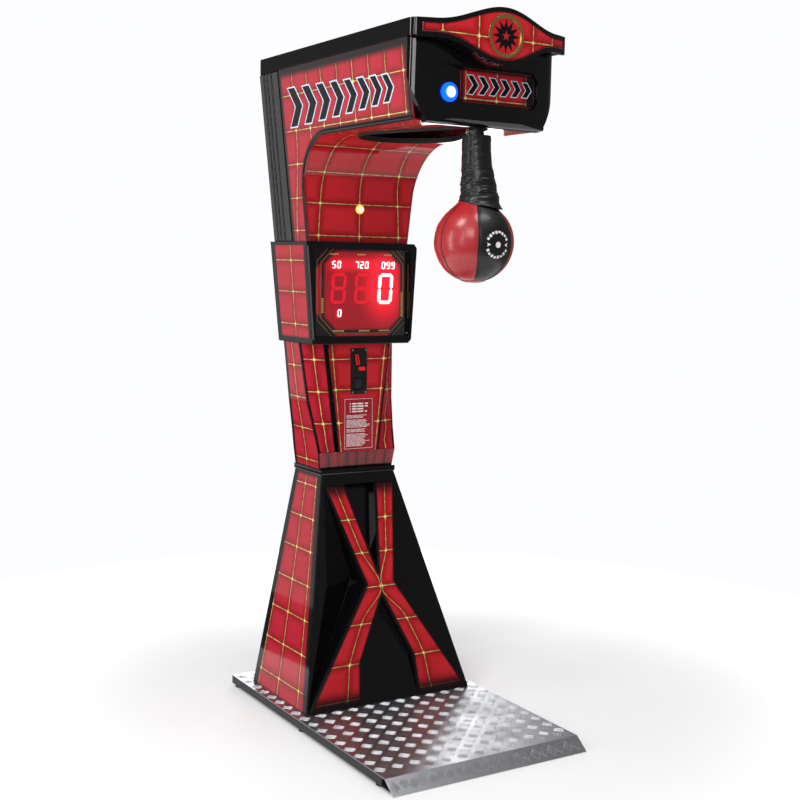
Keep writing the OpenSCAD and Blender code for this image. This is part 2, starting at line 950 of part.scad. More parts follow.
module swing_arm() {
    color("#8f9396") translate([0, pivot_y, pivot_z]) union() {
        rod_x(shaft_r, 2 * shaft_half);
        rod_x(24, 84);
        translate([-80, 0, 0]) rod_x(32, 2);
        translate([0, 0, -225]) cylinder(r = 18, h = 210);
        translate([0, 0, -arm_l]) cylinder(r = 12, h = arm_l - 220);
        translate([-32, -5, bolt_z]) rod_x(7.5, 8);
        translate([-30, -5, bolt_z]) box([0, 20], [-7, 7], [-5, 5]);
    }
}

module punch_ball() {
    color("#c01c2c") translate([0, pivot_y, pivot_z - arm_l]) difference() {
        union() {
            sphere(ball_r, $fn = 128);
            cylinder(r = 40, h = 158);
            translate([0, 0, -ball_r - 1]) cylinder(r = 14, h = 12);
        }
        translate([0, 0, -0.1]) cylinder(r = 12.05, h = 200);
    }
}

module ball_sleeve() {
    color("#1a1a1a") translate([0, pivot_y, pivot_z - arm_l]) rotate_extrude($fn = 96)
        polygon([[41, 110], [56, 103.5], [55, 130], [47, 210], [43, 298], [18.3, 298], [18.3, 290],
            [34, 280], [41, 165]]);
}

// ---------------------------------------------------------------- assembly

rubber_feet();
base_side_rails();
base_cross_rails();
base_nose_rail();
tread_plate();
cabinet_sides();
cabinet_rear();
front_moulding();
cross_strips();
waist_flange();
service_door();
door_hinge_leaves();
frame_hinge_leaves();
door_hinge_pins();
lock_barrel();
lock_cam();
cash_box();
power_supply();
power_inlet();
mid_shell();
tongue_panel();
coin_plate();
coin_screws();
coin_entry();
reject_button();
reject_spring();
coin_validator();
return_cup();
return_flap();
rules_plate();
display_housing();
display_bezel();
display_window();
score_panel();
score_modules();
control_board();
mast_posts();
head_beams();
bearing_housings();
head_sides();
rear_mouldings();
head_rear_panel();
head_liner();
opening_trim();
column_lamp();
head_front();
marquee_panel();
start_bezel();
start_button();
start_spring();
lid();
crown();
crown_panel();
emblem();
latch_unit();
latch_hook();
angle_sensor();
swing_arm();
punch_ball();
ball_sleeve();
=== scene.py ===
import json
import math
import random

import bmesh
import bpy
from bpy.props import FloatProperty, FloatVectorProperty, IntProperty, PointerProperty
from mathutils import Euler, Matrix, Vector, noise
from mathutils.bvhtree import BVHTree

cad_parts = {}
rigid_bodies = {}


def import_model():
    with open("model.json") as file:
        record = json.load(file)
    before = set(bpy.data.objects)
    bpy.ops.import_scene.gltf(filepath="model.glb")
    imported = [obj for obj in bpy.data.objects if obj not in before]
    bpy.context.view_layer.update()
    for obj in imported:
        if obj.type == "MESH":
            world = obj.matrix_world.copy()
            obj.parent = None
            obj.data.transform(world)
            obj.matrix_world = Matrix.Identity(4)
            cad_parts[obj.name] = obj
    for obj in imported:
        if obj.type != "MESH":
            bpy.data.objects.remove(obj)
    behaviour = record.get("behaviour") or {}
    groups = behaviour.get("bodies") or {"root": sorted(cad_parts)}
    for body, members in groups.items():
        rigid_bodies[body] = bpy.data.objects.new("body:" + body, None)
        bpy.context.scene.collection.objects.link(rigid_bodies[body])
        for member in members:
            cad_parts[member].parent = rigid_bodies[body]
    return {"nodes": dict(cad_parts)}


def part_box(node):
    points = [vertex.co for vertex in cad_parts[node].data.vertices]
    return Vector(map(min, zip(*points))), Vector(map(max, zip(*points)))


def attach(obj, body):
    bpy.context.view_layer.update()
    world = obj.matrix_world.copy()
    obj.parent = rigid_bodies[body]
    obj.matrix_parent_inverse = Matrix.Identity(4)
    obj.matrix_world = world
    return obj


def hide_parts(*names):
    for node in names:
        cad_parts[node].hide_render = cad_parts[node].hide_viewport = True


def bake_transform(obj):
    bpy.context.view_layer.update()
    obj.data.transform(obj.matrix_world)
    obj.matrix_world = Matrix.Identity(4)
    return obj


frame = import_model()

bl_info = {
    "name": "Boxing punch machine",
    "version": (1, 0, 0),
    "blender": (4, 5, 0),
    "location": "View3D > Sidebar > Punch machine",
    "description": "Printed panels, gel coat, score display, tread plate and leather ball",
    "category": "Object",
}

MM = 0.001
SIDES = (-1, 1)
NODES = frame["nodes"]
for leftover in [o for o in bpy.data.objects if o.name in ("Cube", "Light", "Camera")]:
    bpy.data.objects.remove(leftover)
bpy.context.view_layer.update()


def low(node, axis):
    """Lowest coordinate of a CAD node in millimetres."""
    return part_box(node)[0][axis] / MM


def high(node, axis):
    """Highest coordinate of a CAD node in millimetres."""
    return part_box(node)[1][axis] / MM


# Places of the machine in millimetres, from its CAD nodes where one carries them
DECK_Z = high("tread_plate", 2)
DECK_HALF = high("tread_plate", 0)
CAB_HALF = high("cabinet_sides", 0)
WAIST_Z = low("waist_flange", 2)
WAIST_HALF = high("waist_flange", 0) - 4
CAB_FRONT, WAIST_FRONT = 41, 274
CAB_REAR, WAIST_REAR = 428, 463
KNEE, CROSS_HEAD = (113, 401), (270, 722)
DISPLAY_Z = low("display_housing", 2)
COLUMN_Z = high("display_housing", 2)
DISPLAY_FRONT = 251
LINER_RISE = 324
HEAD_Z = low("head_liner", 2) + LINER_RISE
LID_Z = low("lid", 2)
LID_TOP = high("lid", 2)
COLUMN_HALF, HEAD_HALF = 186, high("head_sides", 0)
SWEEP_Y, SWEEP_R = 118, 175
SWEEP_Z = HEAD_Z - SWEEP_R
SIDE_FRONT = low("head_sides", 1)
SIDE_REAR = high("head_sides", 1)
DROP_R, TIP_R, TIP_Y = 155, 42, -346
PIVOT_Y, PIVOT_Z = -364, 1915
BALL_Z = PIVOT_Z - 404
BALL_R = 115
CROWN_Y, CROWN_R = -488, 612
RECESS_Y = -404
START_X, START_Z = -125, 1915
MID_SECTIONS = (
    (768, 72, 286, 138, 287, 463),
    (824, 77, 280, 145, 281, 465),
    (894, 85, 281, 151, 305, 468),
    (993, 97, 283, 162, 336, 472),
    (1181, 121, 287, 178, 365, 480),
)
REAR_TILT = math.atan2(WAIST_REAR - CAB_REAR, WAIST_Z - DECK_Z)
TONGUE_TILT = math.atan2(8, 362)
TONGUE_Y, TONGUE_Z = 276, 824
DISPLAY_TILT = math.atan2(8, 320)
COIN_Z = 266
BUTTON_AT = (8.5, 8)


def mix(a, b, t):
    return a + (b - a) * t


def smooth(low_edge, high_edge, x):
    t = min(1, max(0, (x - low_edge) / (high_edge - low_edge)))
    return t * t * (3 - 2 * t)


def chain(x, marks):
    """Value at x on a line through (x, value) marks in rising order of x."""
    for (x0, y0), (x1, y1) in zip(marks, marks[1:]):
        if x <= x1:
            break
    return mix(y0, y1, (x - x0) / (x1 - x0))


def side_x(z):
    """Half width of the column and head at a height."""
    return COLUMN_HALF + (z - COLUMN_Z) * (HEAD_HALF - COLUMN_HALF) / (LID_Z - COLUMN_Z)


def under_z(y):
    """Height of the curved underside over a given Y."""
    if y <= SWEEP_Y:
        return HEAD_Z
    return SWEEP_Z + math.sqrt(max(0, SWEEP_R ** 2 - (y - SWEEP_Y) ** 2))


def leaning(tilt, y0, z0):
    """Place function of a face that leans back: x, depth and height along it to a point."""
    def place(x, y, z):
        return Vector((x, y0 + y * math.cos(tilt) + z * math.sin(tilt),
                       z0 - y * math.sin(tilt) + z * math.cos(tilt)))
    return place


on_rear = leaning(REAR_TILT, CAB_REAR, DECK_Z)
on_tongue = leaning(TONGUE_TILT, TONGUE_Y, TONGUE_Z)
on_display = leaning(DISPLAY_TILT, DISPLAY_FRONT, DISPLAY_Z + 5)


# ------------------------------------------------------------------ node trees

class Wire:
    """An output socket that takes part in arithmetic and adds the nodes for it."""

    def __init__(self, tree, socket):
        self.tree = tree
        self.socket = socket

    def math(self, operation, *values):
        return self.tree.add("ShaderNodeMath", {"operation": operation}, values)

    def __add__(self, other):
        return self.math("ADD", self, other)

    __radd__ = __add__

    def __sub__(self, other):
        return self.math("SUBTRACT", self, other)

    def __rsub__(self, other):
        return self.math("SUBTRACT", other, self)

    def __mul__(self, other):
        return self.math("MULTIPLY", self, other)

    __rmul__ = __mul__

    def __truediv__(self, other):
        return self.math("DIVIDE", self, other)

    def __abs__(self):
        return self.math("ABSOLUTE", self)

    def least(self, other):
        return self.math("MINIMUM", self, other)

    def most(self, other):
        return self.math("MAXIMUM", self, other)

    def root(self):
        return self.math("SQRT", self)

    def from_whole(self):
        """Distance to the nearest whole number."""
        return abs(self.math("FRACT", self + 0.5) - 0.5)

    def step(self, start, end):
        """Soft step that rises from 0 at start to 1 at end."""
        values = {"Value": self, "From Min": start, "From Max": end}
        return self.tree.add("ShaderNodeMapRange", {"interpolation_type": "SMOOTHSTEP"}, values)


class Tree:
    """A node tree under construction."""

    def __init__(self, tree):
        self.tree = tree

    def add(self, kind, settings=None, values=(), out=0):
        """One node of a type: its settings first, then the values or wires of its sockets."""
        node = self.tree.nodes.new(kind)
        for key, value in (settings or {}).items():
            setattr(node, key, value)
        pairs = values.items() if isinstance(values, dict) else enumerate(values)
        for key, value in pairs:
            if isinstance(value, Wire):
                self.tree.links.new(value.socket, node.inputs[key])
            else:
                node.inputs[key].default_value = value
        return Wire(self, node.outputs[out])

    def all_outputs(self, wire):
        return [Wire(self, socket) for socket in wire.socket.node.outputs]


class Finish(Tree):
    """A material with one main shader whose varying sockets are fed by wires."""

    def __init__(self, name, constants):
        self.material = bpy.data.materials.new(name)
        self.material.use_nodes = True
        super().__init__(self.material.node_tree)
        self.tree.nodes.clear()
        self.shader = self.tree.nodes.new("ShaderNodeBsdfPrincipled")
        self.output = self.tree.nodes.new("ShaderNodeOutputMaterial")
        self.tree.links.new(self.shader.outputs[0], self.output.inputs[0])
        self.place = self.add("ShaderNodeTexCoord", out=3)
        for key, value in constants.items():
            self.shader.inputs[key].default_value = value

    def feed(self, socket, wire):
        self.tree.links.new(wire.socket, self.shader.inputs[socket])
        return self

    def grid_map(self):
        """The parts of the UV map that places a pattern on a piece."""
        return self.split(self.add("ShaderNodeUVMap", {"uv_map": "grid"}))

    def noise(self, scale, detail=3.0, rough=0.55, at=None, distortion=0.0):
        values = {"Vector": at or self.place, "Scale": scale, "Detail": detail,
                  "Roughness": rough, "Distortion": distortion}
        return self.add("ShaderNodeTexNoise", {}, values)

    def stretched(self, factors, at=None):
        """Coordinates stretched by a factor on each axis."""
        values = {0: at or self.place, 1: factors}
        return self.add("ShaderNodeVectorMath", {"operation": "MULTIPLY"}, values)

    def split(self, vector):
        return self.all_outputs(self.add("ShaderNodeSeparateXYZ", {}, {0: vector}))[:3]

    def blend(self, factor, first, second):
        """Colour that goes from first to second as factor rises."""
        colours = [c if isinstance(c, Wire) else (*c[:3], 1) for c in (first, second)]
        values = {0: factor, 6: colours[0], 7: colours[1]}
        return self.add("ShaderNodeMix", {"data_type": "RGBA"}, values, out=2)

    def bump(self, height, strength, distance):
        values = {"Strength": strength, "Distance": distance, "Height": height}
        return self.feed("Normal", self.add("ShaderNodeBump", {}, values))


def gel_coat():
    """Polished black gel coat with a faint ripple and a little dust."""
    f = Finish("black_gel_coat", {"Coat Weight": 1.0, "Coat Roughness": 0.03,
                                  "Specular IOR Level": 0.0})
    ripple = f.noise(22, 2) + 0.25 * f.noise(160, 2)
    dust = f.noise(900, 1).step(0.68, 0.78)
    haze = f.noise(6, 4).step(0.35, 0.75)
    f.feed("Base Color", f.blend(dust * 0.35, (0.0022, 0.0022, 0.0028), (0.02, 0.02, 0.024)))
    f.feed("Roughness", 0.10 + 0.10 * haze + 0.15 * dust)
    return f.bump(ripple, 0.08, 0.0015).material


def powder_coat(name, colour, rough, grain=700):
    """Fine-grained paint on sheet steel, rubbed a little lighter in patches."""
    f = Finish(name, {"Specular IOR Level": 0.3})
    pebble = f.noise(grain, 2)
    wear = f.noise(14, 5).step(0.55, 0.8)
    pale = [min(1, c * 2.2 + 0.02) for c in colour]
    f.feed("Base Color", f.blend(wear * 0.5, colour, pale))
    f.feed("Roughness", rough + 0.12 * wear - 0.08 * pebble)
    return f.bump(pebble, 0.25, 0.0004).material


def tread_metal():
    """Mill-finish aluminium with fine rolling marks, scuffs and grey film."""
    f = Finish("tread_aluminium", {"Metallic": 1.0})
    rolled = f.noise(1.0, 3, at=f.stretched((900, 25, 60)))
    scuff = f.noise(60, 5, 0.7).step(0.5, 0.75)
    film = f.noise(7, 5, 0.6).step(0.4, 0.8)
    tone = f.blend(film * 0.6, (0.62, 0.63, 0.66), (0.36, 0.36, 0.36))
    f.feed("Base Color", f.blend(scuff * 0.3, tone, (0.78, 0.79, 0.82)))
    f.feed("Roughness", 0.26 + 0.16 * rolled + 0.14 * film)
    return f.bump(rolled + 0.5 * scuff, 0.18, 0.0003).material


def brushed(name, colour, rough, scale=(40, 40, 900)):
    """Plated or polished metal with fine drawn lines and finger haze."""
    f = Finish(name, {"Metallic": 1.0})
    lines = f.noise(1.0, 3, at=f.stretched(scale))
    haze = f.noise(30, 4).step(0.4, 0.8)
    dull = [c * 0.72 for c in colour]
    f.feed("Base Color", f.blend(haze * 0.5, colour, dull))
    f.feed("Roughness", rough + 0.10 * haze + 0.08 * lines)
    return f.bump(lines, 0.12, 0.0002).material


def moulded(name, colour, rough, grain, depth, coat=0.0, subsurface=0.0):
    """Moulded plastic or rubber with a fine spark-eroded grain."""
    f = Finish(name, {"Coat Weight": coat, "Coat Roughness": 0.08, "Subsurface Weight": subsurface,
                      "Subsurface Scale": 0.002})
    pebble = f.noise(grain, 3)
    cloud = f.noise(25, 4).step(0.35, 0.8)
    deep = [c * 0.78 for c in colour]
    f.feed("Base Color", f.blend(cloud * 0.6, colour, deep))
    f.feed("Roughness", rough + 0.10 * cloud)
    return f.bump(pebble, depth, 0.0005).material


def red_laminate():
    """Plain red laminate, for the panels' bodies under and around the prints."""
    f = Finish("red_laminate", {"Coat Weight": 0.5, "Coat Roughness": 0.06})
    cloud = f.noise(9, 4).step(0.3, 0.8)
    f.feed("Base Color", f.blend(cloud, (0.36, 0.008, 0.018), (0.24, 0.004, 0.010)))
    f.feed("Roughness", 0.22 + 0.1 * f.noise(200, 2))
    return f.bump(f.noise(40, 2), 0.06, 0.001).material


def printed_film(name, bright, deep, lines, line_width=2.7, diamond=7.5):
    """Printed red film: pinstripe grid with diamonds where lines cross, airbrushed to black.

    lines holds the colour of the lines and that of the diamonds' middles.

    The sheet carries its grid position as a UV map and, in the attribute "print", the distance
    between lines both ways and the share of black."""
    settings = bpy.context.scene.punch_print
    line, core = lines
    f = Finish(name, {"Coat Weight": 0.7, "Coat Roughness": 0.05, "Specular IOR Level": 0.0})
    across, up, _ = f.grid_map()
    pitch_x, pitch_z, ink = f.split(f.add("ShaderNodeAttribute", {"attribute_name": "print"}, out=1))
    side = across.from_whole() * pitch_x
    row = up.from_whole() * pitch_z
    near = side.least(row)
    half = line_width * settings.line_scale / 2
    stripe = 1 - near.step(half - 0.25, half + 0.35)
    crossing = 1 - (side + row).step(diamond - 0.6, diamond + 0.5)
    glint = 1 - (side + row).step(1.0, diamond * 0.75)
    outline = 1 - near.least(side + row - diamond + 1).step(half + 0.4, half + 2.4)
    cell = near.step(2, 26)
    cloud = f.noise(8, 4)
    red = f.blend(cell * (0.55 + 0.6 * cloud), deep, bright)
    weave = f.noise(1400, 1)
    red = f.blend(weave * 0.10, red, (0.02, 0.0, 0.002))
    red = f.blend(outline * 0.72, red, (0.035, 0.004, 0.004))
    gold = f.blend(f.noise(55, 3).step(0.35, 0.65), line, [c * 0.45 for c in line])
    gold = f.blend(glint, gold, core)
    colour = f.blend(stripe.most(crossing), red, gold)
    shade = (ink + (f.noise(30, 3) - 0.5) * 0.10 * (1 - abs(ink * 2 - 1))).step(0.02, 0.98)
    f.feed("Base Color", f.blend(shade, colour, (0.004, 0.003, 0.004)))
    f.feed("Roughness", 0.16 + 0.10 * f.noise(18, 3))
    return f.bump(f.noise(26, 2) + 0.15 * f.noise(220, 2), 0.07, 0.0012).material


def ink(name, colour, glow=0.0):
    """Screen-printed ink with uneven cover; a glow, where one is given, is painted light."""
    f = Finish(name, {"Specular IOR Level": 0.15, "Coat Weight": 0.2, "Coat Roughness": 0.1,
                      "Emission Strength": glow})
    patchy = f.noise(300, 3).step(0.4, 0.75)
    tone = f.blend(patchy * 0.35, colour, [c * 0.7 for c in colour])
    f.feed("Base Color", tone)
    # The ink is no lamp: a glow here is painted light
    if glow:
        f.feed("Emission Color", tone)
    f.feed("Roughness", 0.3 + 0.15 * patchy)
    return f.bump(patchy, 0.1, 0.0002).material


def lit_segment(name, core, edge, strength):
    """Glowing bar of a digit, whitest along its middle; the UV map gives the way to its middle. On an
    unlit bar the glow is painted light.
    """
    f = Finish(name, {"Emission Strength": strength, "Roughness": 0.3})
    away, _, _ = f.grid_map()
    grain = f.noise(500, 2)
    tone = f.blend((abs(away) + 0.15 * (grain - 0.5)).step(0.1, 1.0), core, edge)
    f.feed("Base Color", f.blend(grain, edge, [c * 0.6 for c in edge]))
    f.feed("Emission Color", tone)
    return f.material


def score_print_film():
    """Film behind the cover: red glow around the digits, black corners, thin gold frame lines."""
    glow = bpy.context.scene.punch_display.glow
    f = Finish("score_film", {"Emission Strength": glow, "Coat Weight": 0.4, "Coat Roughness": 0.1})
    x, z, _ = f.grid_map()
    mid_x, mid_z, half_x, half_z, cut = 12, 170, 146, 130, 232
    lit_x, lit_z, counter_z = 97, 177, 254
    dx = abs(x - mid_x) - half_x
    dz = abs(z - mid_z) - half_z
    corner = (abs(x - mid_x) + abs(z - mid_z) - cut) * 0.72
    out = dx.most(dz).most(corner)
    window = 1 - out.step(-10, 4)
    near_lit = ((x - lit_x) * (x - lit_x) * 1.3 + (z - lit_z) * (z - lit_z) * 0.7).root()
    halo = 1 - near_lit.step(20, 130)
    counters = 1 - abs(z - counter_z).step(4, 34)
    mesh_grain = f.noise(420, 2)
    outer = out.step(9, 12) * (1 - out.step(26, 40)) * (1 - corner.step(4, 14))
    power = (0.13 + 0.50 * halo + 0.34 * counters * (1 - abs(x - 10).step(80, 150))) * window
    power = power + 0.10 * outer
    power = power * (0.85 + 0.3 * mesh_grain)
    rim = (1 - abs(out - 9).step(0.6, 1.6)) + (1 - abs(out - 24).step(0.5, 1.4))
    paint = f.blend(window, (0.012, 0.004, 0.006), (0.35, 0.004, 0.012))
    paint = f.blend(outer, paint, (0.40, 0.01, 0.02))
    f.feed("Base Color", f.blend(rim * 0.8, paint, (0.55, 0.38, 0.12)))
    f.feed("Emission Color", f.blend(power, (0, 0, 0), (1.0, 0.006, 0.030)))
    f.feed("Roughness", 0.25 + 0.2 * mesh_grain)
    return f.material


def clear_cover():
    """Domed clear cover: see-through, with a shine that grows at the edges and fine wipe marks."""
    f = Finish("clear_cover", {"Base Color": (0.9, 0.9, 0.9, 1), "Roughness": 0.03, "IOR": 1.5})
    wipe = f.noise(1.0, 3, at=f.stretched((12, 12, 90)))
    through = f.add("ShaderNodeBsdfTransparent")
    shine = f.add("ShaderNodeBsdfGlossy", {}, {"Roughness": 0.03})
    factor = f.add("ShaderNodeFresnel", {}, {"IOR": 1.5}) * 0.75 + 0.008 * wipe
    joined = f.add("ShaderNodeMixShader", {}, {0: factor, 1: through, 2: shine})
    f.tree.links.new(joined.socket, f.output.inputs[0])
    return f.material


def leather(name, colour, gloss):
    """Pebbled leather with creases and rubbed high spots."""
    f = Finish(name, {"Coat Weight": gloss, "Coat Roughness": 0.24, "Specular IOR Level": 0.3})
    cells = f.add("ShaderNodeTexVoronoi", {"feature": "DISTANCE_TO_EDGE"},
                  {"Vector": f.place, "Scale": 520.0})
    pebble = cells.step(0.0, 0.35)
    creases = f.noise(38, 6, 0.65, distortion=0.6).step(0.45, 0.62)
    rubbed = f.noise(11, 4).step(0.45, 0.8)
    pale = [min(1, c * 1.35 + 0.012) for c in colour]
    dark = [c * 0.55 for c in colour]
    tone = f.blend(rubbed * 0.6, colour, pale)
    f.feed("Base Color", f.blend((1 - pebble) * 0.35, tone, dark))
    f.feed("Roughness", 0.34 + 0.14 * creases + 0.1 * (1 - pebble))
    return f.bump(pebble * 0.6 + creases * 0.8, 0.30, 0.0006).material


def circuit_green():
    """Solder mask with copper tracks and pads showing through."""
    f = Finish("circuit_board", {"Coat Weight": 0.4, "Coat Roughness": 0.15})
    x, _, z = f.split(f.place)
    track = ((x * 320).from_whole().step(0.16, 0.2)) * ((z * 260).from_whole().step(0.12, 0.16))
    bend = f.noise(45, 1).step(0.48, 0.5)
    f.feed("Base Color", f.blend((1 - track) * bend, (0.012, 0.11, 0.045), (0.05, 0.26, 0.10)))
    f.feed("Roughness", 0.3 + 0.2 * f.noise(80, 2))
    return f.bump(track, 0.3, 0.0002).material


def lens(name, centre, core, rim, strength, reach):
    """Lit lens: whitest in the middle, deeper in colour towards its rim."""
    f = Finish(name, {"Emission Strength": strength, "Coat Weight": 0.8, "Roughness": 0.15})
    x, _, z = f.split(f.place)
    dx, dz = x - centre[0] * MM, z - centre[1] * MM
    away = (dx * dx + dz * dz).root() / (reach * MM)
    rings = (away * 6).from_whole()
    tone = f.blend(away.step(0.42, 0.68), core, rim)
    f.feed("Emission Color", tone)
    f.feed("Base Color", f.blend(rings, tone, rim))
    return f.bump(rings, 0.2, 0.0006).material


def floor_finish():
    """Pale studio floor that turns to white towards its rim."""
    f = Finish("studio_floor", {"Specular IOR Level": 0.2, "Emission Strength": 1.0})
    x, y, _ = f.split(f.place)
    fade = (x * x + y * y).root().step(0.7, 2.3)
    cloud = f.noise(1.2, 4)
    f.feed("Base Color", f.blend(cloud, (0.86, 0.86, 0.86), (0.80, 0.80, 0.80)))
    f.feed("Emission Color", f.blend(fade, (0.12, 0.12, 0.12), (0.80, 0.80, 0.82)))
    f.feed("Roughness", 0.6 + 0.2 * cloud)
    return f.bump(f.noise(60, 3), 0.05, 0.001).material


GOLD_LINES = ((0.74, 0.52, 0.16), (1.0, 0.86, 0.30))
SEAM_LINES = ((0.010, 0.003, 0.003), (0.010, 0.003, 0.003))
FINISHES = {
    "rubber": lambda: moulded("rubber", (0.018, 0.018, 0.018), 0.62, 500, 0.4),
    "black_steel": lambda: powder_coat("black_powder_coat", (0.010, 0.010, 0.011), 0.42),
    "tread_aluminium": tread_metal,
    "red_laminate": red_laminate,
    "black_panel": lambda: powder_coat("black_satin_paint", (0.009, 0.009, 0.010), 0.34, 300),
    "black_gloss": gel_coat,
    "zinc_steel": lambda: brushed("zinc_plate", (0.62, 0.62, 0.60), 0.26),
    "chrome": lambda: brushed("chrome", (0.86, 0.87, 0.90), 0.05, (120, 120, 120)),
    "black_plastic": lambda: moulded("black_plastic", (0.014, 0.014, 0.015), 0.42, 900, 0.25),
    "red_plastic": lambda: moulded("red_plastic", (0.75, 0.02, 0.012), 0.25, 600, 0.08, 0.5, 0.15),
    "clear_cover": clear_cover,
    "circuit_board": circuit_green,
    "cast_grey": lambda: powder_coat("grey_casting", (0.16, 0.165, 0.17), 0.5, 260),
    "lamp_lens": lambda: lens("lamp_lens", (0, 1620), (1.0, 0.88, 0.55), (0.85, 0.42, 0.08),
                              1.6, 14),
    "blue_lens": lambda: lens("blue_lens", (START_X, START_Z), (0.80, 0.92, 1.0),
                              (0.0, 0.07, 1.0), 2.4, 25),
    "gold_plastic": lambda: brushed("gold_ring", (0.80, 0.58, 0.20), 0.22),
    "red_leather": lambda: leather("red_leather", (0.42, 0.012, 0.016), 0.8),
    "black_leather": lambda: leather("black_leather", (0.006, 0.006, 0.007), 0.4),
    "red_print": lambda: printed_film("red_print", (0.47, 0.016, 0.032), (0.30, 0.006, 0.015),
                                      GOLD_LINES),
    "cross_print": lambda: printed_film("cross_print", (0.60, 0.022, 0.028), (0.36, 0.008, 0.014),
                                        GOLD_LINES),
    "seam_print": lambda: printed_film("seam_print", (0.30, 0.005, 0.010), (0.16, 0.003, 0.005),
                                       SEAM_LINES, 3.4, 0.7),
    "black_ink": lambda: ink("black_ink", (0.004, 0.004, 0.005)),
    "blue_ink": lambda: ink("pale_blue_ink", (0.62, 0.76, 0.93)),
    "white_ink": lambda: ink("white_ink", (0.86, 0.80, 0.80)),
    "emblem_red": lambda: ink("emblem_red", (0.50, 0.012, 0.02)),
    # Gold ink with a faint painted glow, though the marks are no lamp
    "gold_ink": lambda: ink("gold_ink", (0.62, 0.50, 0.14), 0.25),
    "score_film": score_print_film,
    "lit_segment": lambda: lit_segment("lit_segment", (1.0, 0.72, 0.66), (1.0, 0.10, 0.10), 9.0),
    # Unlit bars with a faint red glow: painted light, as they are no lamp
    "dim_segment": lambda: lit_segment("dim_segment", (0.62, 0.004, 0.016),
                                       (0.58, 0.003, 0.014), 1.0),
}
made = {}


def finish(name):
    """The material of that name, made when it is first asked for."""
    if name not in made:
        made[name] = FINISHES[name]()
    return made[name]


# ------------------------------------------------------------------ meshes

def dress(node, material, width=0.0, segments=2):
    """Gives a CAD node its material and softens its hard edges with a bevel of that width."""
    obj = NODES[node]
    mesh = obj.data
    for name in ("custom_normal", "sharp_edge"):
        if name in mesh.attributes:
            mesh.attributes.remove(mesh.attributes[name])
    mesh.polygons.foreach_set("use_smooth", [True] * len(mesh.polygons))
    mesh.materials.clear()
    mesh.materials.append(finish(material))
    weld = obj.modifiers.new("Weld", "WELD")
    weld.merge_threshold = 2e-5
    if width:
        bevel = obj.modifiers.new("Bevel", "BEVEL")
        bevel.width = width * MM
        bevel.segments = segments
        bevel.limit_method = "ANGLE"
        bevel.angle_limit = math.radians(35)
    normals = obj.modifiers.new("Weighted normals", "WEIGHTED_NORMAL")
    normals.keep_sharp = False
    return obj


def dress_all(*rows):
    """Dresses one CAD node for each row of dress values."""
    for row in rows:
        dress(*row)


def linked(name, data):
    """New object in the scene that holds a mesh, a lamp or a camera."""
    obj = bpy.data.objects.new(name, data)
    bpy.context.scene.collection.objects.link(obj)
    return obj


def closed_object(name, points, faces, angle):
    """A closed mesh in millimetres, turned outwards and smooth up to an angle between faces."""
    mesh = bpy.data.meshes.new(name)
    mesh.from_pydata([Vector(p) * MM for p in points], [], faces)
    work = bmesh.new()
    work.from_mesh(mesh)
    bmesh.ops.recalc_face_normals(work, faces=work.faces)
    work.to_mesh(mesh)
    work.free()
    mesh.polygons.foreach_set("use_smooth", [True] * len(mesh.polygons))
    mesh.set_sharp_from_angle(angle=math.radians(angle))
    return linked(name, mesh)


def add_piece(name, points, faces, material, body="body", replaces=(), angle=35,
              uv=None, ink_values=None):
    """A closed piece that rides on a body; material is one name or a list of names."""
    obj = closed_object(name, points, faces, angle)
    mesh = obj.data
    if uv:
        layer = mesh.uv_layers.new(name="grid")
        for loop in mesh.loops:
            layer.data[loop.index].uv = uv[loop.vertex_index]
    if ink_values:
        attribute = mesh.attributes.new("print", "FLOAT_VECTOR", "POINT")
        attribute.data.foreach_set("vector", [c for v in ink_values for c in v])
    for item in (material if isinstance(material, list) else [material]):
        mesh.materials.append(finish(item))
    return declare(obj, body, replaces)


def declare(obj, body, replaces=()):
    if body:
        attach(obj, body)
    if replaces:
        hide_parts(*replaces)
    return obj


def rect(x0, x1, z0, z1):
    """Outline of a rectangle."""
    return [(x0, z0), (x1, z0), (x1, z1), (x0, z1)]


def circle(radius, sides):
    """Outline of a circle about the origin."""
    turns = [math.tau * k / sides for k in range(sides)]
    return [(radius * math.cos(t), radius * math.sin(t)) for t in turns]


def skin(rings, sides, base=0):
    """Quads that join closed rings of points, each ring to the next."""
    starts = [base + k * sides for k in range(rings - 1)]
    steps = [(s, (s + 1) % sides) for s in range(sides)]
    return [(a + s, a + t, a + sides + t, a + sides + s) for a in starts for s, t in steps]


def caps(rings, sides, base=0):
    """The two end faces of a run of rings."""
    last = base + (rings - 1) * sides
    return [tuple(range(base + sides - 1, base - 1, -1)), tuple(range(last, last + sides))]


def prism(points, faces, outline, place, back, front):
    """Adds a plate with an outline of (p, q), between two depths of a place function."""
    base = len(points)
    n = len(outline)
    points += [place(p, q, front) for p, q in outline] + [place(p, q, back) for p, q in outline]
    faces.append(list(range(base, base + n)))
    faces.append(list(range(base + 2 * n - 1, base + n - 1, -1)))
    faces += [[base + i, base + n + i, base + n + (i + 1) % n, base + (i + 1) % n] for i in range(n)]


def plates(name, outlines, place, back, front, material, body="body"):
    """One piece made of flat plates, such as raised print or bars."""
    points, faces = [], []
    for outline in outlines:
        prism(points, faces, outline, place, back, front)
    return add_piece(name, points, faces, material, body)


def ruler(marks):
    """Function to a value that is whole at every mark, and the distance between marks there."""
    marks = sorted(marks)

    def at(x):
        k = sum(1 for m in marks[1:-1] if x > m)
        gap = marks[k + 1] - marks[k]
        return k + (x - marks[k]) / gap, gap
    return at


def shade(*fades):
    """Share of black: the most that a (strength, start, end, distance) fade gives."""
    return max(strength - smooth(start, end, away) for strength, start, end, away in fades)


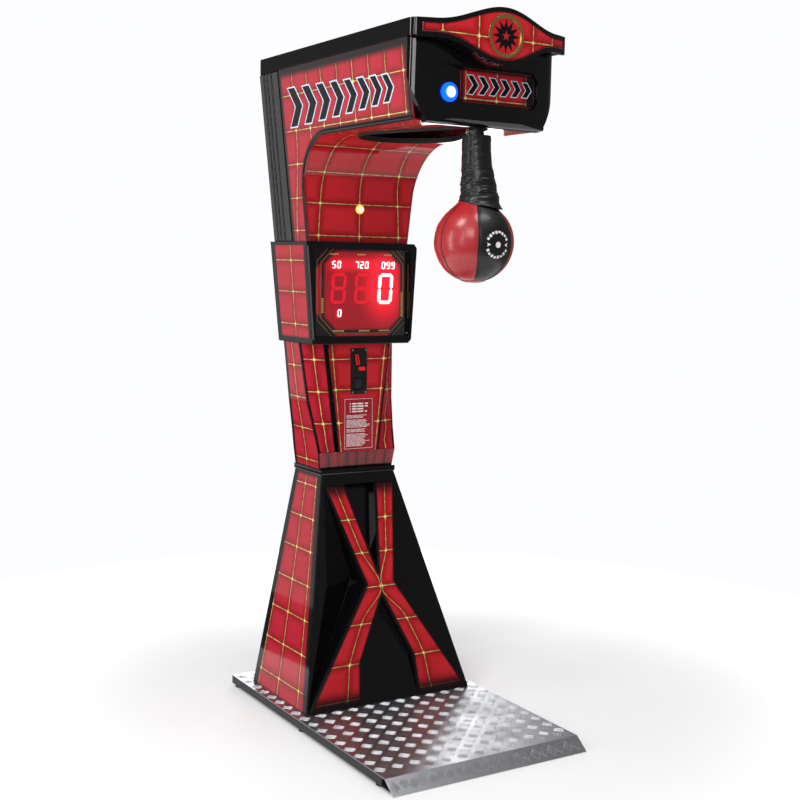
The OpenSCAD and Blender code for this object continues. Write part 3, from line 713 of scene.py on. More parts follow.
def flank(sign, cells, span, at, width, columns, rows, fades, outward=0.0):
    """Patch of a printed side over a span of heights, for printed().

    at(z, u) gives its X and Y and width(z) its width. The fades to black, each of (strength,
    start, end), are those at its rear, front, top and bottom edges."""
    foot, top = span

    def surface(u, v):
        z = mix(foot, top, v)
        x, y = at(z, u)
        return sign * x, y, z

    def grid(u, v, p):
        wide = width(p.z)
        a, gap_a = columns(u)
        b, gap_b = rows(p.z)
        ways = (u * wide, (1 - u) * wide, top - p.z, p.z - foot)
        black = shade(*((*fade, way) for fade, way in zip(fades, ways)))
        return a, b, gap_a * wide, gap_b, black
    return *cells, surface, (sign, outward, 0), grid


def printed(name, patches, material, lift=0.15, thick=0.5, onto=None):
    """Printed sheet: each patch is (cells across, cells up, surface, outward, grid).

    surface(u, v) gives a point, outward its rough direction, and grid(u, v, point) the position on
    the pinstripe grid, the distances between lines and the share of black."""
    tree = BVHTree.FromObject(NODES[onto], bpy.context.evaluated_depsgraph_get()) if onto else None
    points, faces, uv, values = [], [], [], []
    for across, up, surface, outward, grid in patches:
        rows = [[Vector(surface(i / across, j / up)) for i in range(across + 1)] for j in range(up + 1)]
        outward = Vector(outward).normalized()
        if tree:
            for row in rows:
                for i, p in enumerate(row):
                    hit = tree.ray_cast((p + outward * 25) * MM, -outward, 50 * MM)[0]
                    row[i] = hit / MM if hit else p
        base = len(points)
        width = across + 1
        size = width * (up + 1)
        fronts, backs = [], []
        for j in range(up + 1):
            for i in range(width):
                du = rows[j][min(i + 1, across)] - rows[j][max(i - 1, 0)]
                dv = rows[min(j + 1, up)][i] - rows[max(j - 1, 0)][i]
                normal = du.cross(dv)
                normal = normal.normalized() if normal.length > 1e-6 else outward.copy()
                if normal.dot(outward) < 0:
                    normal.negate()
                fronts.append(rows[j][i] + normal * (lift + thick))
                backs.append(rows[j][i] + normal * lift)
                a, b, gap_a, gap_b, black = grid(i / across, j / up, rows[j][i])
                uv.append((a, b))
                values.append((gap_a, gap_b, black))
        points += fronts + backs
        uv += uv[-size:]
        values += values[-size:]
        for j in range(up):
            for i in range(across):
                k = base + j * width + i
                faces.append((k, k + 1, k + width + 1, k + width))
                faces.append((k + size, k + size + width, k + size + width + 1, k + size + 1))
        edge = [base + i for i in range(across)]
        edge += [base + j * width + across for j in range(up)]
        edge += [base + up * width + i for i in range(across, 0, -1)]
        edge += [base + j * width for j in range(up, 0, -1)]
        faces += [(p, p + size, q + size, q) for p, q in zip(edge, edge[1:] + edge[:1])]
    return add_piece(name, points, faces, material, "body", (), 40, uv, values)


def bead(points, faces, path, normals, half, height, sides=8):
    """Adds a half-round moulding along a path, standing on a surface with the given normals."""
    base = len(points)
    n = len(path)
    for k, (p, up) in enumerate(zip(path, normals)):
        along = (path[min(k + 1, n - 1)] - path[max(k - 1, 0)]).normalized()
        across = along.cross(up).normalized()
        for s in range(sides + 1):
            turn = math.pi * s / sides
            points.append(p + across * half * math.cos(turn) + up * height * math.sin(turn))
    ring = sides + 1
    faces += skin(n, ring, base) + [cap[::-1] for cap in caps(n, ring, base)]


def lathe(profile, place, sides):
    """Turned closed solid; place takes a radius, an angle and a height to a point."""
    points = [place(radius, 2 * math.pi * s / sides, height)
              for radius, height in profile for s in range(sides)]
    return points, skin(len(profile), sides) + caps(len(profile), sides)


def coil(name, node, place, radius, wire, start, end, turns):
    """Helical compression spring in place of a plain tube."""
    steps, sides = 20, 8
    points = []
    rings = turns * steps + 1
    for k in range(rings):
        turn = math.tau * k / steps
        depth = mix(start + wire, end - wire, k / (rings - 1))
        for s in range(sides):
            around = math.tau * s / sides
            r = radius + wire * math.cos(around)
            along = depth + wire * math.sin(around)
            points.append(place(r * math.cos(turn), r * math.sin(turn), along))
    faces = skin(rings, sides) + caps(rings, sides)
    obj = add_piece(name, points, faces, "zinc_steel", None, (node,), 60)
    place(0, 0, start + wire) * MM
    place(0, 0, end - wire) * MM
    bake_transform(obj)


# Largest angle in degrees between faces that shade smoothly, on pieces that a tree repeats
SOURCE_ANGLE = 40


class NodesTree(Tree):
    """A geometry tree with named inputs that repeats the input "Source", which run() removes."""

    def __init__(self, name, inputs):
        group = bpy.data.node_groups.new(name, "GeometryNodeTree")
        super().__init__(group)
        group.interface.new_socket("Geometry", in_out="INPUT", socket_type="NodeSocketGeometry")
        for label, (kind, _) in inputs.items():
            group.interface.new_socket(label, in_out="INPUT", socket_type="NodeSocket" + kind)
        group.interface.new_socket("Geometry", in_out="OUTPUT", socket_type="NodeSocketGeometry")
        self.inputs = inputs
        source = group.nodes.new("NodeGroupInput")
        self.wires = {s.name: Wire(self, s) for s in source.outputs if s.name}

    def scatter(self, rotation, scale, material):
        """Puts the input "Source" on every point and gives the result its material."""
        shape = self.add("GeometryNodeObjectInfo", {}, {0: self.wires["Source"]}, out=4)
        spread = self.add("GeometryNodeInstanceOnPoints", {},
                          {"Points": self.wires["Geometry"], "Instance": shape,
                           "Rotation": rotation, "Scale": scale})
        whole = self.add("GeometryNodeRealizeInstances", {}, {0: spread})
        coloured = self.add("GeometryNodeSetMaterial", {}, {0: whole, 2: material})
        out = self.tree.nodes.new("NodeGroupOutput")
        self.tree.links.new(coloured.socket, out.inputs[0])

    def vector(self, label):
        """The points' vector under that label."""
        kind = "GeometryNodeInputNamedAttribute"
        return self.add(kind, {"data_type": "FLOAT_VECTOR"}, {0: label})

    def random(self, least, most):
        """One random number for each point."""
        return self.add("FunctionNodeRandomValue", {"data_type": "FLOAT"},
                        {2: least, 3: most, 8: self.wires["Seed"]}, out=1)

    def run(self, name, start):
        """Runs the tree on a start mesh and returns the result as a plain object."""
        carrier = linked(name + "_carrier", start)
        modifier = carrier.modifiers.new("Nodes", "NODES")
        modifier.node_group = self.tree
        for item in self.tree.interface.items_tree:
            if item.in_out == "INPUT" and item.name in self.inputs:
                modifier[item.identifier] = self.inputs[item.name][1]
        graph = bpy.context.evaluated_depsgraph_get()
        mesh = bpy.data.meshes.new_from_object(carrier.evaluated_get(graph), depsgraph=graph)
        bpy.data.objects.remove(carrier)
        bpy.data.objects.remove(self.inputs["Source"][1])
        mesh.name = name
        return linked(name, mesh)


def spot_mesh(name, places, label, vectors):
    """Loose points in millimetres, each with a vector under that label."""
    mesh = bpy.data.meshes.new(name)
    mesh.from_pydata([Vector(p) * MM for p in places], [], [])
    attribute = mesh.attributes.new(label, "FLOAT_VECTOR", "POINT")
    attribute.data.foreach_set("vector", [c for v in vectors for c in v])
    return mesh


def screws(name, places, head_r, body):
    """Button-head screws with hexagonal sockets at (point, axis) places, turned at random."""
    socket_r = head_r * 0.42
    profile = [(head_r, 0), (head_r, head_r * 0.25), (head_r * 0.82, head_r * 0.55),
               (head_r * 0.5, head_r * 0.66), (socket_r, head_r * 0.66), (socket_r, head_r * 0.2)]

    def place(radius, turn, height):
        if radius == socket_r:
            radius = socket_r * math.cos(math.pi / 6) / math.cos((turn % (math.pi / 3)) - math.pi / 6)
        return radius * math.cos(turn), radius * math.sin(turn), height
    source = closed_object(name + "_head", *lathe(profile, place, 12), SOURCE_ANGLE)
    points, axes = zip(*places)
    inputs = {"Source": ("Object", source), "Size": ("Float", 1.0), "Seed": ("Int", 7)}
    tree = NodesTree("Screws", inputs)
    upright = tree.add("FunctionNodeAlignRotationToVector", {"axis": "Z"},
                       {"Vector": tree.vector("axis")})
    about = tree.add("ShaderNodeCombineXYZ", {}, {2: tree.random(0.0, math.tau)})
    about = tree.add("FunctionNodeEulerToRotation", {}, {0: about})
    turned = tree.add("FunctionNodeRotateRotation", {"rotation_space": "LOCAL"},
                      {0: upright, 1: about})
    tree.scatter(turned, tree.wires["Size"], finish("zinc_steel"))
    declare(tree.run(name, spot_mesh(name, points, "axis", axes)), body)


# ------------------------------------------------------------------ settings

class PrintSettings(bpy.types.PropertyGroup):
    line_scale: FloatProperty(name="Line width", description="Width of the gold lines, as a factor",
                              default=1.0, min=0.3, max=3.0, subtype="FACTOR")


class TreadSettings(bpy.types.PropertyGroup):
    pitch: FloatVectorProperty(name="Pitch", description="Distance between like groups of bars", size=2,
                               default=(58 * MM, 57 * MM), unit="LENGTH")
    bar: FloatVectorProperty(name="Bar", description="Length, width and height of a bar", size=3,
                             default=(33 * MM, 3.8 * MM, 1.1 * MM), unit="LENGTH")
    bars: IntProperty(name="Bars", description="Bars in a group", default=5, min=3, max=7)


class DisplaySettings(bpy.types.PropertyGroup):
    digit: FloatVectorProperty(name="Digit", description="Width and height of a score digit", size=2,
                               default=(56 * MM, 102 * MM), unit="LENGTH")
    glow: FloatProperty(name="Glow", description="Brightness of the red film", default=1.5, min=0.0,
                        max=10.0)


class BallSettings(bpy.types.PropertyGroup):
    gores: IntProperty(name="Gores", description="Leather gores around the ball", default=6, min=4,
                       max=8)
    groove: FloatProperty(name="Seam depth", description="Depth of the seams between gores",
                          default=1.6 * MM, min=0.0, max=4 * MM, unit="LENGTH")
    folds: FloatProperty(name="Fold depth", description="Depth of the sleeve's folds",
                         default=4.5 * MM, min=0.0, max=8 * MM, unit="LENGTH")


class StudioSettings(bpy.types.PropertyGroup):
    sky: FloatProperty(name="Room light", description="Light from the pale room on the machine",
                       default=0.42, min=0.0, max=1.0)
    gloss: FloatProperty(name="Room in reflections", default=0.35, min=0.0, max=1.0,
                         description="Share of the room light in reflections", subtype="FACTOR")
    key: FloatProperty(name="Key light", description="Power of the largest softbox", default=48.0,
                       min=0.0, max=500.0, unit="POWER")


# ------------------------------------------------------------------ platform and cabinet

class PUNCH_OT_platform(bpy.types.Operator):
    """Rails, feet and the tread plate with its raised bars"""
    bl_idname = "punch.platform"
    bl_label = "Platform"

    def execute(self, context):
        rails = ("base_side_rails", "base_cross_rails", "base_nose_rail")
        dress_all(("rubber_feet", "rubber", 1.5), *((node, "black_steel", 1.6) for node in rails),
                  ("tread_plate", "tread_aluminium", 0.5))
        self.bars(context.scene.punch_tread)
        return {"FINISHED"}

    def mark(self, tread):
        """One group of pointed, domed bars side by side."""
        length, width, height = (v / MM for v in tread.bar)
        points, faces = [], []
        gap, sides = width + 1.8, 10
        levels = ((1.0, -0.1), (0.80, 0.65 * height), (0.42, height))
        for k in range(tread.bars):
            y = (k - (tread.bars - 1) / 2) * gap
            base = len(points)
            for share, z in levels:
                for s in range(sides):
                    turn = 2 * math.pi * s / sides
                    end = length / 2 * (1 - (1 - share) * 0.25)
                    reach = math.copysign(abs(math.cos(turn)) ** 0.7, math.cos(turn))
                    points.append((reach * end, y + math.sin(turn) * width / 2 * share, z))
            faces += skin(len(levels), sides, base) + caps(len(levels), sides, base)
        return closed_object("tread_mark", points, faces, SOURCE_ANGLE)

    def bars(self, tread):
        source = self.mark(tread)
        pitch_x, pitch_y = (v / MM for v in tread.pitch)
        points, turns = [], []
        front, rear, toe = -489, high("tread_plate", 1), low("tread_plate", 1)
        toe_z, margin, ramp_pitch = 1.5, 13, 61
        diagonals = ((0, math.pi / 4), (1, -math.pi / 4))
        for half, turn in diagonals:
            for i in range(-6, 7):
                for j in range(-12, 12):
                    x = i * pitch_x + half * pitch_x / 2
                    y = j * pitch_y + half * pitch_y / 2
                    inside = abs(x) < CAB_HALF - 22 and CAB_FRONT + 22 < y < CAB_REAR - 20
                    on_deck = abs(x) < DECK_HALF - margin and front + margin < y < rear - margin
                    if on_deck and not inside:
                        points.append(Vector((x, y, DECK_Z)))
                        turns.append(Euler((0, 0, turn)))
        tilt = Matrix.Rotation(math.atan2(DECK_Z - toe_z, front - toe), 3, "X")
        for half, turn in diagonals:
            for i in range(-6, 6):
                x = (i + half / 2) * ramp_pitch + 12
                if abs(x) < DECK_HALF - margin:
                    points.append(Vector((x, (front + toe) / 2 - 0.5, (DECK_Z + toe_z) / 2 + 0.5)))
                    turns.append((tilt @ Matrix.Rotation(turn, 3, "Z")).to_euler())
        inputs = {"Source": ("Object", source), "Least size": ("Float", 0.93), "Seed": ("Int", 3)}
        tree = NodesTree("Tread bars", inputs)
        turn = tree.add("FunctionNodeEulerToRotation", {}, {0: tree.vector("turn")})
        size = tree.random(tree.wires["Least size"], 1.0)
        tree.scatter(turn, size, finish("tread_aluminium"))
        obj = tree.run("tread_bars", spot_mesh("tread_marks", points, "turn", turns))
        self.clip(obj, rear)
        declare(obj, "body")

    def clip(self, obj, rear):
        """Cuts the bars off at the deck's edges and closes the cuts."""
        edge = DECK_HALF - 0.4
        work = bmesh.new()
        work.from_mesh(obj.data)
        for place, normal in (((edge, 0, 0), (1, 0, 0)), ((-edge, 0, 0), (-1, 0, 0)),
                              ((0, rear - 0.4, 0), (0, 1, 0))):
            geom = work.verts[:] + work.edges[:] + work.faces[:]
            cut = bmesh.ops.bisect_plane(work, geom=geom, dist=1e-7, plane_co=Vector(place) * MM,
                                         plane_no=normal, clear_outer=True)
            rims = [e for e in cut["geom_cut"] if isinstance(e, bmesh.types.BMEdge)]
            bmesh.ops.holes_fill(work, edges=rims)
        work.to_mesh(obj.data)
        work.free()


def cabinet(z):
    """Half width, front and rear of the lower cabinet at a height."""
    pairs = ((CAB_HALF, WAIST_HALF), (CAB_FRONT, WAIST_FRONT), (CAB_REAR, WAIST_REAR))
    return [mix(a, b, (z - DECK_Z) / (WAIST_Z - DECK_Z)) for a, b in pairs]


class PUNCH_OT_cabinet(bpy.types.Operator):
    """Lower cabinet: gel-coat front with the printed cross, printed sides and black rear"""
    bl_idname = "punch.cabinet"
    bl_label = "Lower cabinet"

    def execute(self, context):
        dress_all(("cabinet_sides", "red_laminate", 0.6), ("cabinet_rear", "black_panel", 0.8),
                  ("front_moulding", "black_gloss", 2.2, 3), ("cross_strips", "black_gloss", 0.6),
                  ("waist_flange", "black_gloss", 4.0, 3))
        self.sides()
        self.cross()
        return {"FINISHED"}

    def sides(self):
        column = ruler((0.10, 0.46, 0.84))
        row = ruler((93, 199, 301, 404, 507, 607, 710))
        span = (DECK_Z + 1.5, WAIST_Z - 1)
        fades = ((1, 27, 33), (1, 12, 44), (0.9, 2, 22), (0.7, 0, 14))

        def at(z, u):
            half, front, rear = cabinet(z)
            return half, mix(rear - 1, front + 3, u)

        def width(z):
            _, front, rear = cabinet(z)
            return rear - front
        patches = [flank(s, (60, 110), span, at, width, column, row, fades) for s in SIDES]
        printed("cabinet_side_prints", patches, "red_print")

    def cross(self):
        """Print of the raised cross, in a lower and an upper part on each side."""
        inner = ((38, 113), (171, 102), (382, 0), (428, 0), (721, 64))
        outer = ((38, 295), (409, 51), (721, 131))
        front = ((DECK_Z, CAB_FRONT - 2), (KNEE[1], KNEE[0] - 2), (CROSS_HEAD[1], CROSS_HEAD[0] - 2))
        row = ruler((-60, 62, 170, 290, 402, 505, 607, 730))
        top = 711

        def patch(sign, start, end):
            def surface(u, v):
                z = mix(start, end, v)
                x = mix(chain(z, inner) + 1.2, chain(z, outer) - 1.2, u)
                return sign * x, chain(z, front), z

            def grid(u, v, p):
                width = chain(p.z, outer) - chain(p.z, inner)
                share = smooth(300, 400, p.z) * (1 - smooth(404, 520, p.z))
                line = mix(0.5, 0.02, share)
                if p.z < 380:
                    line = mix(line, 0.28, 1 - smooth(60, 330, p.z))
                b, gap_b = row(p.z)
                edge = min(u, 1 - u) * width
                if 370 < p.z < 436:
                    edge = (1 - u) * width
                black = shade((1, -2, 9, edge), (0.95, 40, 125, p.z), (0.85, 0, 70, top - p.z))
                return 1 + u - line, b, width, gap_b, black
            return 26, int((end - start) / 8), surface, (0, -1, 0), grid
        spans = ((DECK_Z + 3.5, KNEE[1]), (KNEE[1], top))
        patches = [patch(sign, start, end) for sign in SIDES for start, end in spans]
        printed("cross_prints", patches, "cross_print", lift=0.1, thick=0.4)


# ------------------------------------------------------------------ middle body and coin parts

APRON_Z = TONGUE_Z - 1
CORNER_WAY = -1.2


def section(z):
    """Half widths and Y places of the middle body at a height."""
    return [chain(z, [(s[0], s[k]) for s in MID_SECTIONS]) for k in range(1, 6)]


class PUNCH_OT_middle(bpy.types.Operator):
    """Middle body: printed sides, slanted corners and tongue, each with black edges"""
    bl_idname = "punch.middle"
    bl_label = "Middle body"

    def execute(self, context):
        dress_all(("mid_shell", "black_gloss", 1.6), ("tongue_panel", "black_gloss", 0.8))
        foot, top = MID_SECTIONS[0][0] + 2, MID_SECTIONS[-1][0] - 1
        middle = ruler((-0.5, 0.5, 1.5))

        def side(z, u):
            s = section(z)
            return s[2], mix(s[4] - 1, s[3] + 1, u)

        def side_width(z):
            s = section(z)
            return s[4] - s[3]

        def corner(z, u):
            s = section(z)
            return mix(s[2] - 1, s[0] + 1, u), mix(s[3], s[1] + 4, u)

        def corner_width(z):
            s = section(z)
            return math.hypot(s[2] - s[0], s[3] - s[1] - 4)
        kinds = (
            ("middle_side_prints", (40, 70), (foot, top), side, side_width, middle,
             ruler((793, 898, 1000, 1105)), ((1, 14, 20), (1, 5, 9)), 0.0),
            ("middle_corner_prints", (30, 60), (APRON_Z + 1, top), corner, corner_width, middle,
             ruler((812, 918, 1022, 1128)), ((1, 4, 8), (1, 6, 10)), CORNER_WAY),
        )
        for name, *rest in kinds:
            patches = [flank(sign, *rest) for sign in SIDES]
            printed(name, patches, "red_print", onto="mid_shell")
        self.apron(foot)
        self.tongue()
        return {"FINISHED"}

    def apron(self, foot):
        """Lower band, where black seams run together towards the waist."""
        seams = ruler((0.0, 0.25, 0.5, 0.75, 1.0))

        def front(u, v):
            z = mix(foot, APRON_Z, v)
            s = section(z)
            return mix(-s[0], s[0], u), s[1] + 4, z

        def corner(sign):
            def surface(u, v):
                z = mix(foot, APRON_Z, v)
                s = section(z)
                return sign * mix(s[2] - 1, s[0], u), mix(s[3], s[1] + 4, u), z
            return surface

        def grid(u, v, p):
            a, gap_a = seams(u)
            return a, 0.5, gap_a * 150, 200, 0.9 - smooth(-2, 14, p.z - foot)

        def corner_grid(u, v, p):
            return u + 0.5, 0.5, 70, 200, 0.9 - smooth(-2, 14, p.z - foot)
        patches = [(50, 12, front, (0, -1, 0), grid)]
        patches += [(20, 12, corner(s), (s, CORNER_WAY, 0), corner_grid) for s in SIDES]
        printed("apron_prints", patches, "seam_print", onto="mid_shell")

    def tongue(self):
        """Front sheet, printed around the coin plate."""
        column, row = ruler((0.075, 0.925)), ruler((815, 920, 1030, 1130))
        length = high("tongue_panel", 2) - TONGUE_Z - 1
        plate, edge = 31, 76

        def half(t):
            return mix(77, 120, t / 356) - 0.8

        def part(left, right, start, end):
            def surface(u, v):
                t = mix(start, end, v)
                return on_tongue(mix(left(t), right(t), u), 0, t)

            def grid(u, v, p):
                t = p.z - TONGUE_Z
                width = 2 * half(t)
                share = (p.x + half(t)) / width
                a, gap_a = column(share)
                b, gap_b = row(p.z)
                black = shade((1, 4, 8, (1 - share) * width), (1, 4, 8, share * width))
                return a, b, gap_a * width, gap_b, black
            cells = 12 if right(start) - left(start) < 100 else 44
            return cells, max(8, int((end - start) / 6)), surface, (0, -1, 0), grid
        low_end, high_end = COIN_Z - edge, COIN_Z + edge

        def minus_half(t):
            return -half(t)
        patches = [
            part(minus_half, half, 0.5, low_end),
            part(minus_half, lambda t: -plate, low_end, high_end),
            part(lambda t: plate, half, low_end, high_end),
            part(minus_half, half, high_end, length),
        ]
        printed("tongue_prints", patches, "cross_print")


class PUNCH_OT_coin_parts(bpy.types.Operator):
    """Coin plate with its slot, return button and cup, and the plate of rules below it"""
    bl_idname = "punch.coin_parts"
    bl_label = "Coin parts"

    def execute(self, context):
        dress_all(("coin_plate", "black_steel", 0.8), ("coin_screws", "zinc_steel", 0.5),
                  ("coin_entry", "red_plastic", 0.9), ("reject_button", "red_plastic", 1.0),
                  ("coin_validator", "black_plastic", 0.8), ("return_cup", "black_plastic", 0.5),
                  ("return_flap", "black_plastic", 0.4), ("rules_plate", "red_laminate", 0.4))
        self.rules()
        self.slot_lip()
        x, z = BUTTON_AT

        def place(p, q, depth):
            return on_tongue(x + p, depth, COIN_Z + z + q)
        coil("reject_spring_coil", "reject_spring", place, 5.3, 0.5, 4.2, 24.1, 7)
        return {"FINISHED"}

    def rules(self):
        """Plain bars in place of a text, in a thin outline."""
        def place(x, t, depth):
            return on_tongue(x, -1.5 - depth, t)

        x0, x1, z0, z1, line = -53, 53, 8, 174, 1.0
        bars = [rect(x0, x1, z0, z0 + line), rect(x0, x1, z1 - line, z1),
                rect(x0, x0 + line, z0 + line, z1 - line), rect(x1 - line, x1, z0 + line, z1 - line)]
        draw = random.Random(11)
        for k in range(4):
            z = 160 - 8.6 * k
            bars.append(rect(-34, -30.5, z - 4.2, z))
            bars += [rect(a, b, z - 4.4, z) for a, b in ((-25, -8), (-5, 14 + draw.random() * 6))]
            if k != 2:
                bars.append(rect(24, 30 + draw.random() * 10, z - 4.4, z))
        z, left, least = 120, -46, 8
        while z > 16:
            if draw.random() > 0.12:
                end = left + draw.uniform(66, 92)
                start = left
                while start < end - least:
                    length = draw.uniform(least, 22)
                    bars.append(rect(start, min(start + length, end), z - 1.7, z))
                    start += length + 1.8
            z -= 3.9
        plates("rules_lines", bars, place, 0.05, 0.22, "white_ink")

    def slot_lip(self):
        """Raised frame and lip of the return mouth, and guide ribs beside the slot."""
        def place(x, t, depth):
            return on_tongue(x, -3 - depth, t + COIN_Z)
        ribs = [rect(-20, -17.2, -64, -22), rect(17.2, 20, -64, -22),
                rect(-17.2, 17.2, -24, -21.2), rect(-17.2, 17.2, -65, -62.2)]
        ribs += [rect(x, x + 1.1, 24, 56) for x in (-20, -17.6, -15.2)]
        plates("coin_plate_ribs", ribs, place, 0.02, 1.2, "black_steel")


# ------------------------------------------------------------------ score display

SEGMENTS = {"a": (0, 1, 1, 1), "b": (1, 0.5, 1, 1), "c": (1, 0, 1, 0.5), "d": (0, 0, 1, 0),
            "e": (0, 0, 0, 0.5), "f": (0, 0.5, 0, 1), "g": (0, 0.5, 1, 0.5)}
DIGITS = {"0": "abcdef", "2": "abged", "5": "afgcd", "7": "abc", "8": "abcdefg", "9": "abcdfg"}


def digit_bars(which, x, z, width, height, thick, slant):
    """Hexagonal bars of a seven-segment digit, as outlines of (x, z) points."""
    out = []
    gap = 0.06

    def end(u, v):
        """Point of a bar's end, drawn in from the digit's edges by half a bar."""
        inward = {0: 1, 1: -1}
        return Vector((mix(-width / 2, width / 2, u) + thick / 2 * inward[u],
                       mix(0, height, v) + thick / 2 * inward.get(v, 0)))
    for name in which:
        u0, v0, u1, v1 = SEGMENTS[name]
        a, b = end(u0, v0), end(u1, v1)
        along = (b - a).normalized()
        across = Vector((-along.y, along.x)) * thick / 2
        a, b = a + along * thick * gap, b - along * thick * gap
        tip = along * thick / 2
        ring = [a, a + tip - across, b - tip - across, b, b - tip + across, a + tip + across]
        out.append([(x + p.x + slant * (p.y - height / 2), z - height / 2 + p.y) for p in ring])
    return out


class PUNCH_OT_display(bpy.types.Operator):
    """Score display: housing, bezel, domed cover, glowing film, digits and counters"""
    bl_idname = "punch.display"
    bl_label = "Score display"

    def execute(self, context):
        dress_all(("display_housing", "black_gloss", 2.5, 3), ("display_bezel", "black_gloss", 2.6, 3),
                  ("display_window", "clear_cover", 0.6), ("score_panel", "black_plastic", 0.4))
        self.sides()
        self.film()
        self.digits(context.scene.punch_display)
        self.labels()
        return {"FINISHED"}

    def sides(self):
        row, middle = ruler((1243, 1349, 1451)), ruler((-0.45, 0.55, 1.55))
        span = (DISPLAY_Z + 3, COLUMN_Z - 3)
        fades = ((1, 28, 34), (1, 17, 24), (1, 6, 14), (1, 12, 24))

        def at(z, u):
            t = (z - DISPLAY_Z) / (COLUMN_Z - DISPLAY_Z)
            return mix(183, 205, t), mix(mix(509, 535, t) - 3, mix(263.5, 271.5, t) + 3, u)
        patches = [flank(s, (44, 50), span, at, lambda z: 250, middle, row, fades) for s in SIDES]
        printed("display_side_prints", patches, "red_print")

    def film(self):
        """Film behind the cover; its UV map holds millimetres on the display."""
        def spot(u, v):
            return mix(-171, 171, u), mix(14, 304, v)

        def surface(u, v):
            x, z = spot(u, v)
            return on_display(x, 29.9, z)

        def grid(u, v, p):
            return *spot(u, v), 0, 0, 0
        printed("score_film", [(20, 16, surface, (0, -1, 0), grid)], "score_film",
                lift=0.1, thick=0.4)

    def digits(self, settings):
        width, height = (v / MM for v in settings.digit)
        slant = 8 / height

        def show(name, outlines, back, front, material, replaces=()):
            points, faces, uv = [], [], []
            for ring in outlines:
                base, n = len(points), len(ring)
                a, b = Vector(ring[0]), Vector(ring[3])
                line = (b - a).normalized()
                for depth, loop in ((front, ring), (back, ring)):
                    for p in loop:
                        points.append(on_display(p[0], depth, p[1]))
                        uv.append((1.0, 0.0))
                spine = [a + line * 1.2, a + line * (b - a).length * 0.25,
                         a + line * (b - a).length * 0.75, b - line * 1.2]
                for p in spine:
                    points.append(on_display(p.x, front, p.y))
                    uv.append((0.0, 0.0))
                s = base + 2 * n
                faces += [(base, base + 1, s), (base + 1, base + 2, s + 2, s + 1), (base + 1, s + 1, s),
                          (base + 2, base + 3, s + 3), (base + 2, s + 3, s + 2),
                          (base + 3, base + 4, s + 3), (base + 4, s + 2, s + 3),
                          (base + 4, base + 5, s + 1, s + 2), (base + 5, base, s), (base + 5, s, s + 1)]
                faces += [(base + i, base + n + i, base + n + (i + 1) % n, base + (i + 1) % n)
                          for i in range(n)]
                faces.append(tuple(base + n + i for i in range(n)))
            add_piece(name, points, faces, material, "body", replaces, 35, uv)
        large, small, pitch = (width, height, 11.5, slant), (13, 23, 2.7, 0.08), 18.5
        score_x, score_z = 97, 177
        lit = digit_bars(DIGITS["0"], score_x, score_z, *large)
        for text, centre in (("50", -88), ("720", 7), ("099", 108)):
            for k, character in enumerate(text):
                x = centre + (k - (len(text) - 1) / 2) * pitch
                lit += digit_bars(DIGITS[character], x, 254, *small)
        lit += digit_bars(DIGITS["0"], -77, 96, *small)
        show("lit_digits", lit, 27.0, 25.5, "lit_segment", ("score_modules",))
        # Unlit bars of the digits, shown by a faint painted glow
        dim = digit_bars("g", score_x, score_z, *large)
        for x in (9, -79):
            dim += digit_bars(DIGITS["8"], x, score_z, *large)
        show("dim_digits", dim, 29.2, 28.4, "dim_segment")

    def labels(self):
        """Small gold bars beside, below and above the digits, in gold ink with a faint painted glow."""
        def place(x, z, depth):
            return on_display(x, 29.4 - depth, z)

        def bar(x, z, w, h):
            return rect(x - w / 2, x + w / 2, z - h / 2, z + h / 2)
        bars = []
        for x, z0, count in ((-138, 97, 7), (163, 84, 12)):
            bars += [bar(x, z0 + 7 * k + 3, 6.5, 4.6) for k in range(count)]
        for x in (-79, 18, 95):
            bars += [bar(x + 8.5 * k - 17, 38, 6.5, 5) for k in range(5)]
        for x in (-95, 7, 108):
            bars += [bar(x + 8 * k - 12, 288, 6, 4.6) for k in range(4)]
        plates("display_marks", bars, place, 0.02, 0.4, "gold_ink")


# ------------------------------------------------------------------ column and head

def on_side(sign):
    """Place function of the column and head's side: Y, height and distance outwards to a point."""
    def place(y, z, out):
        return Vector((sign * (side_x(z) + out), y, z))
    return place


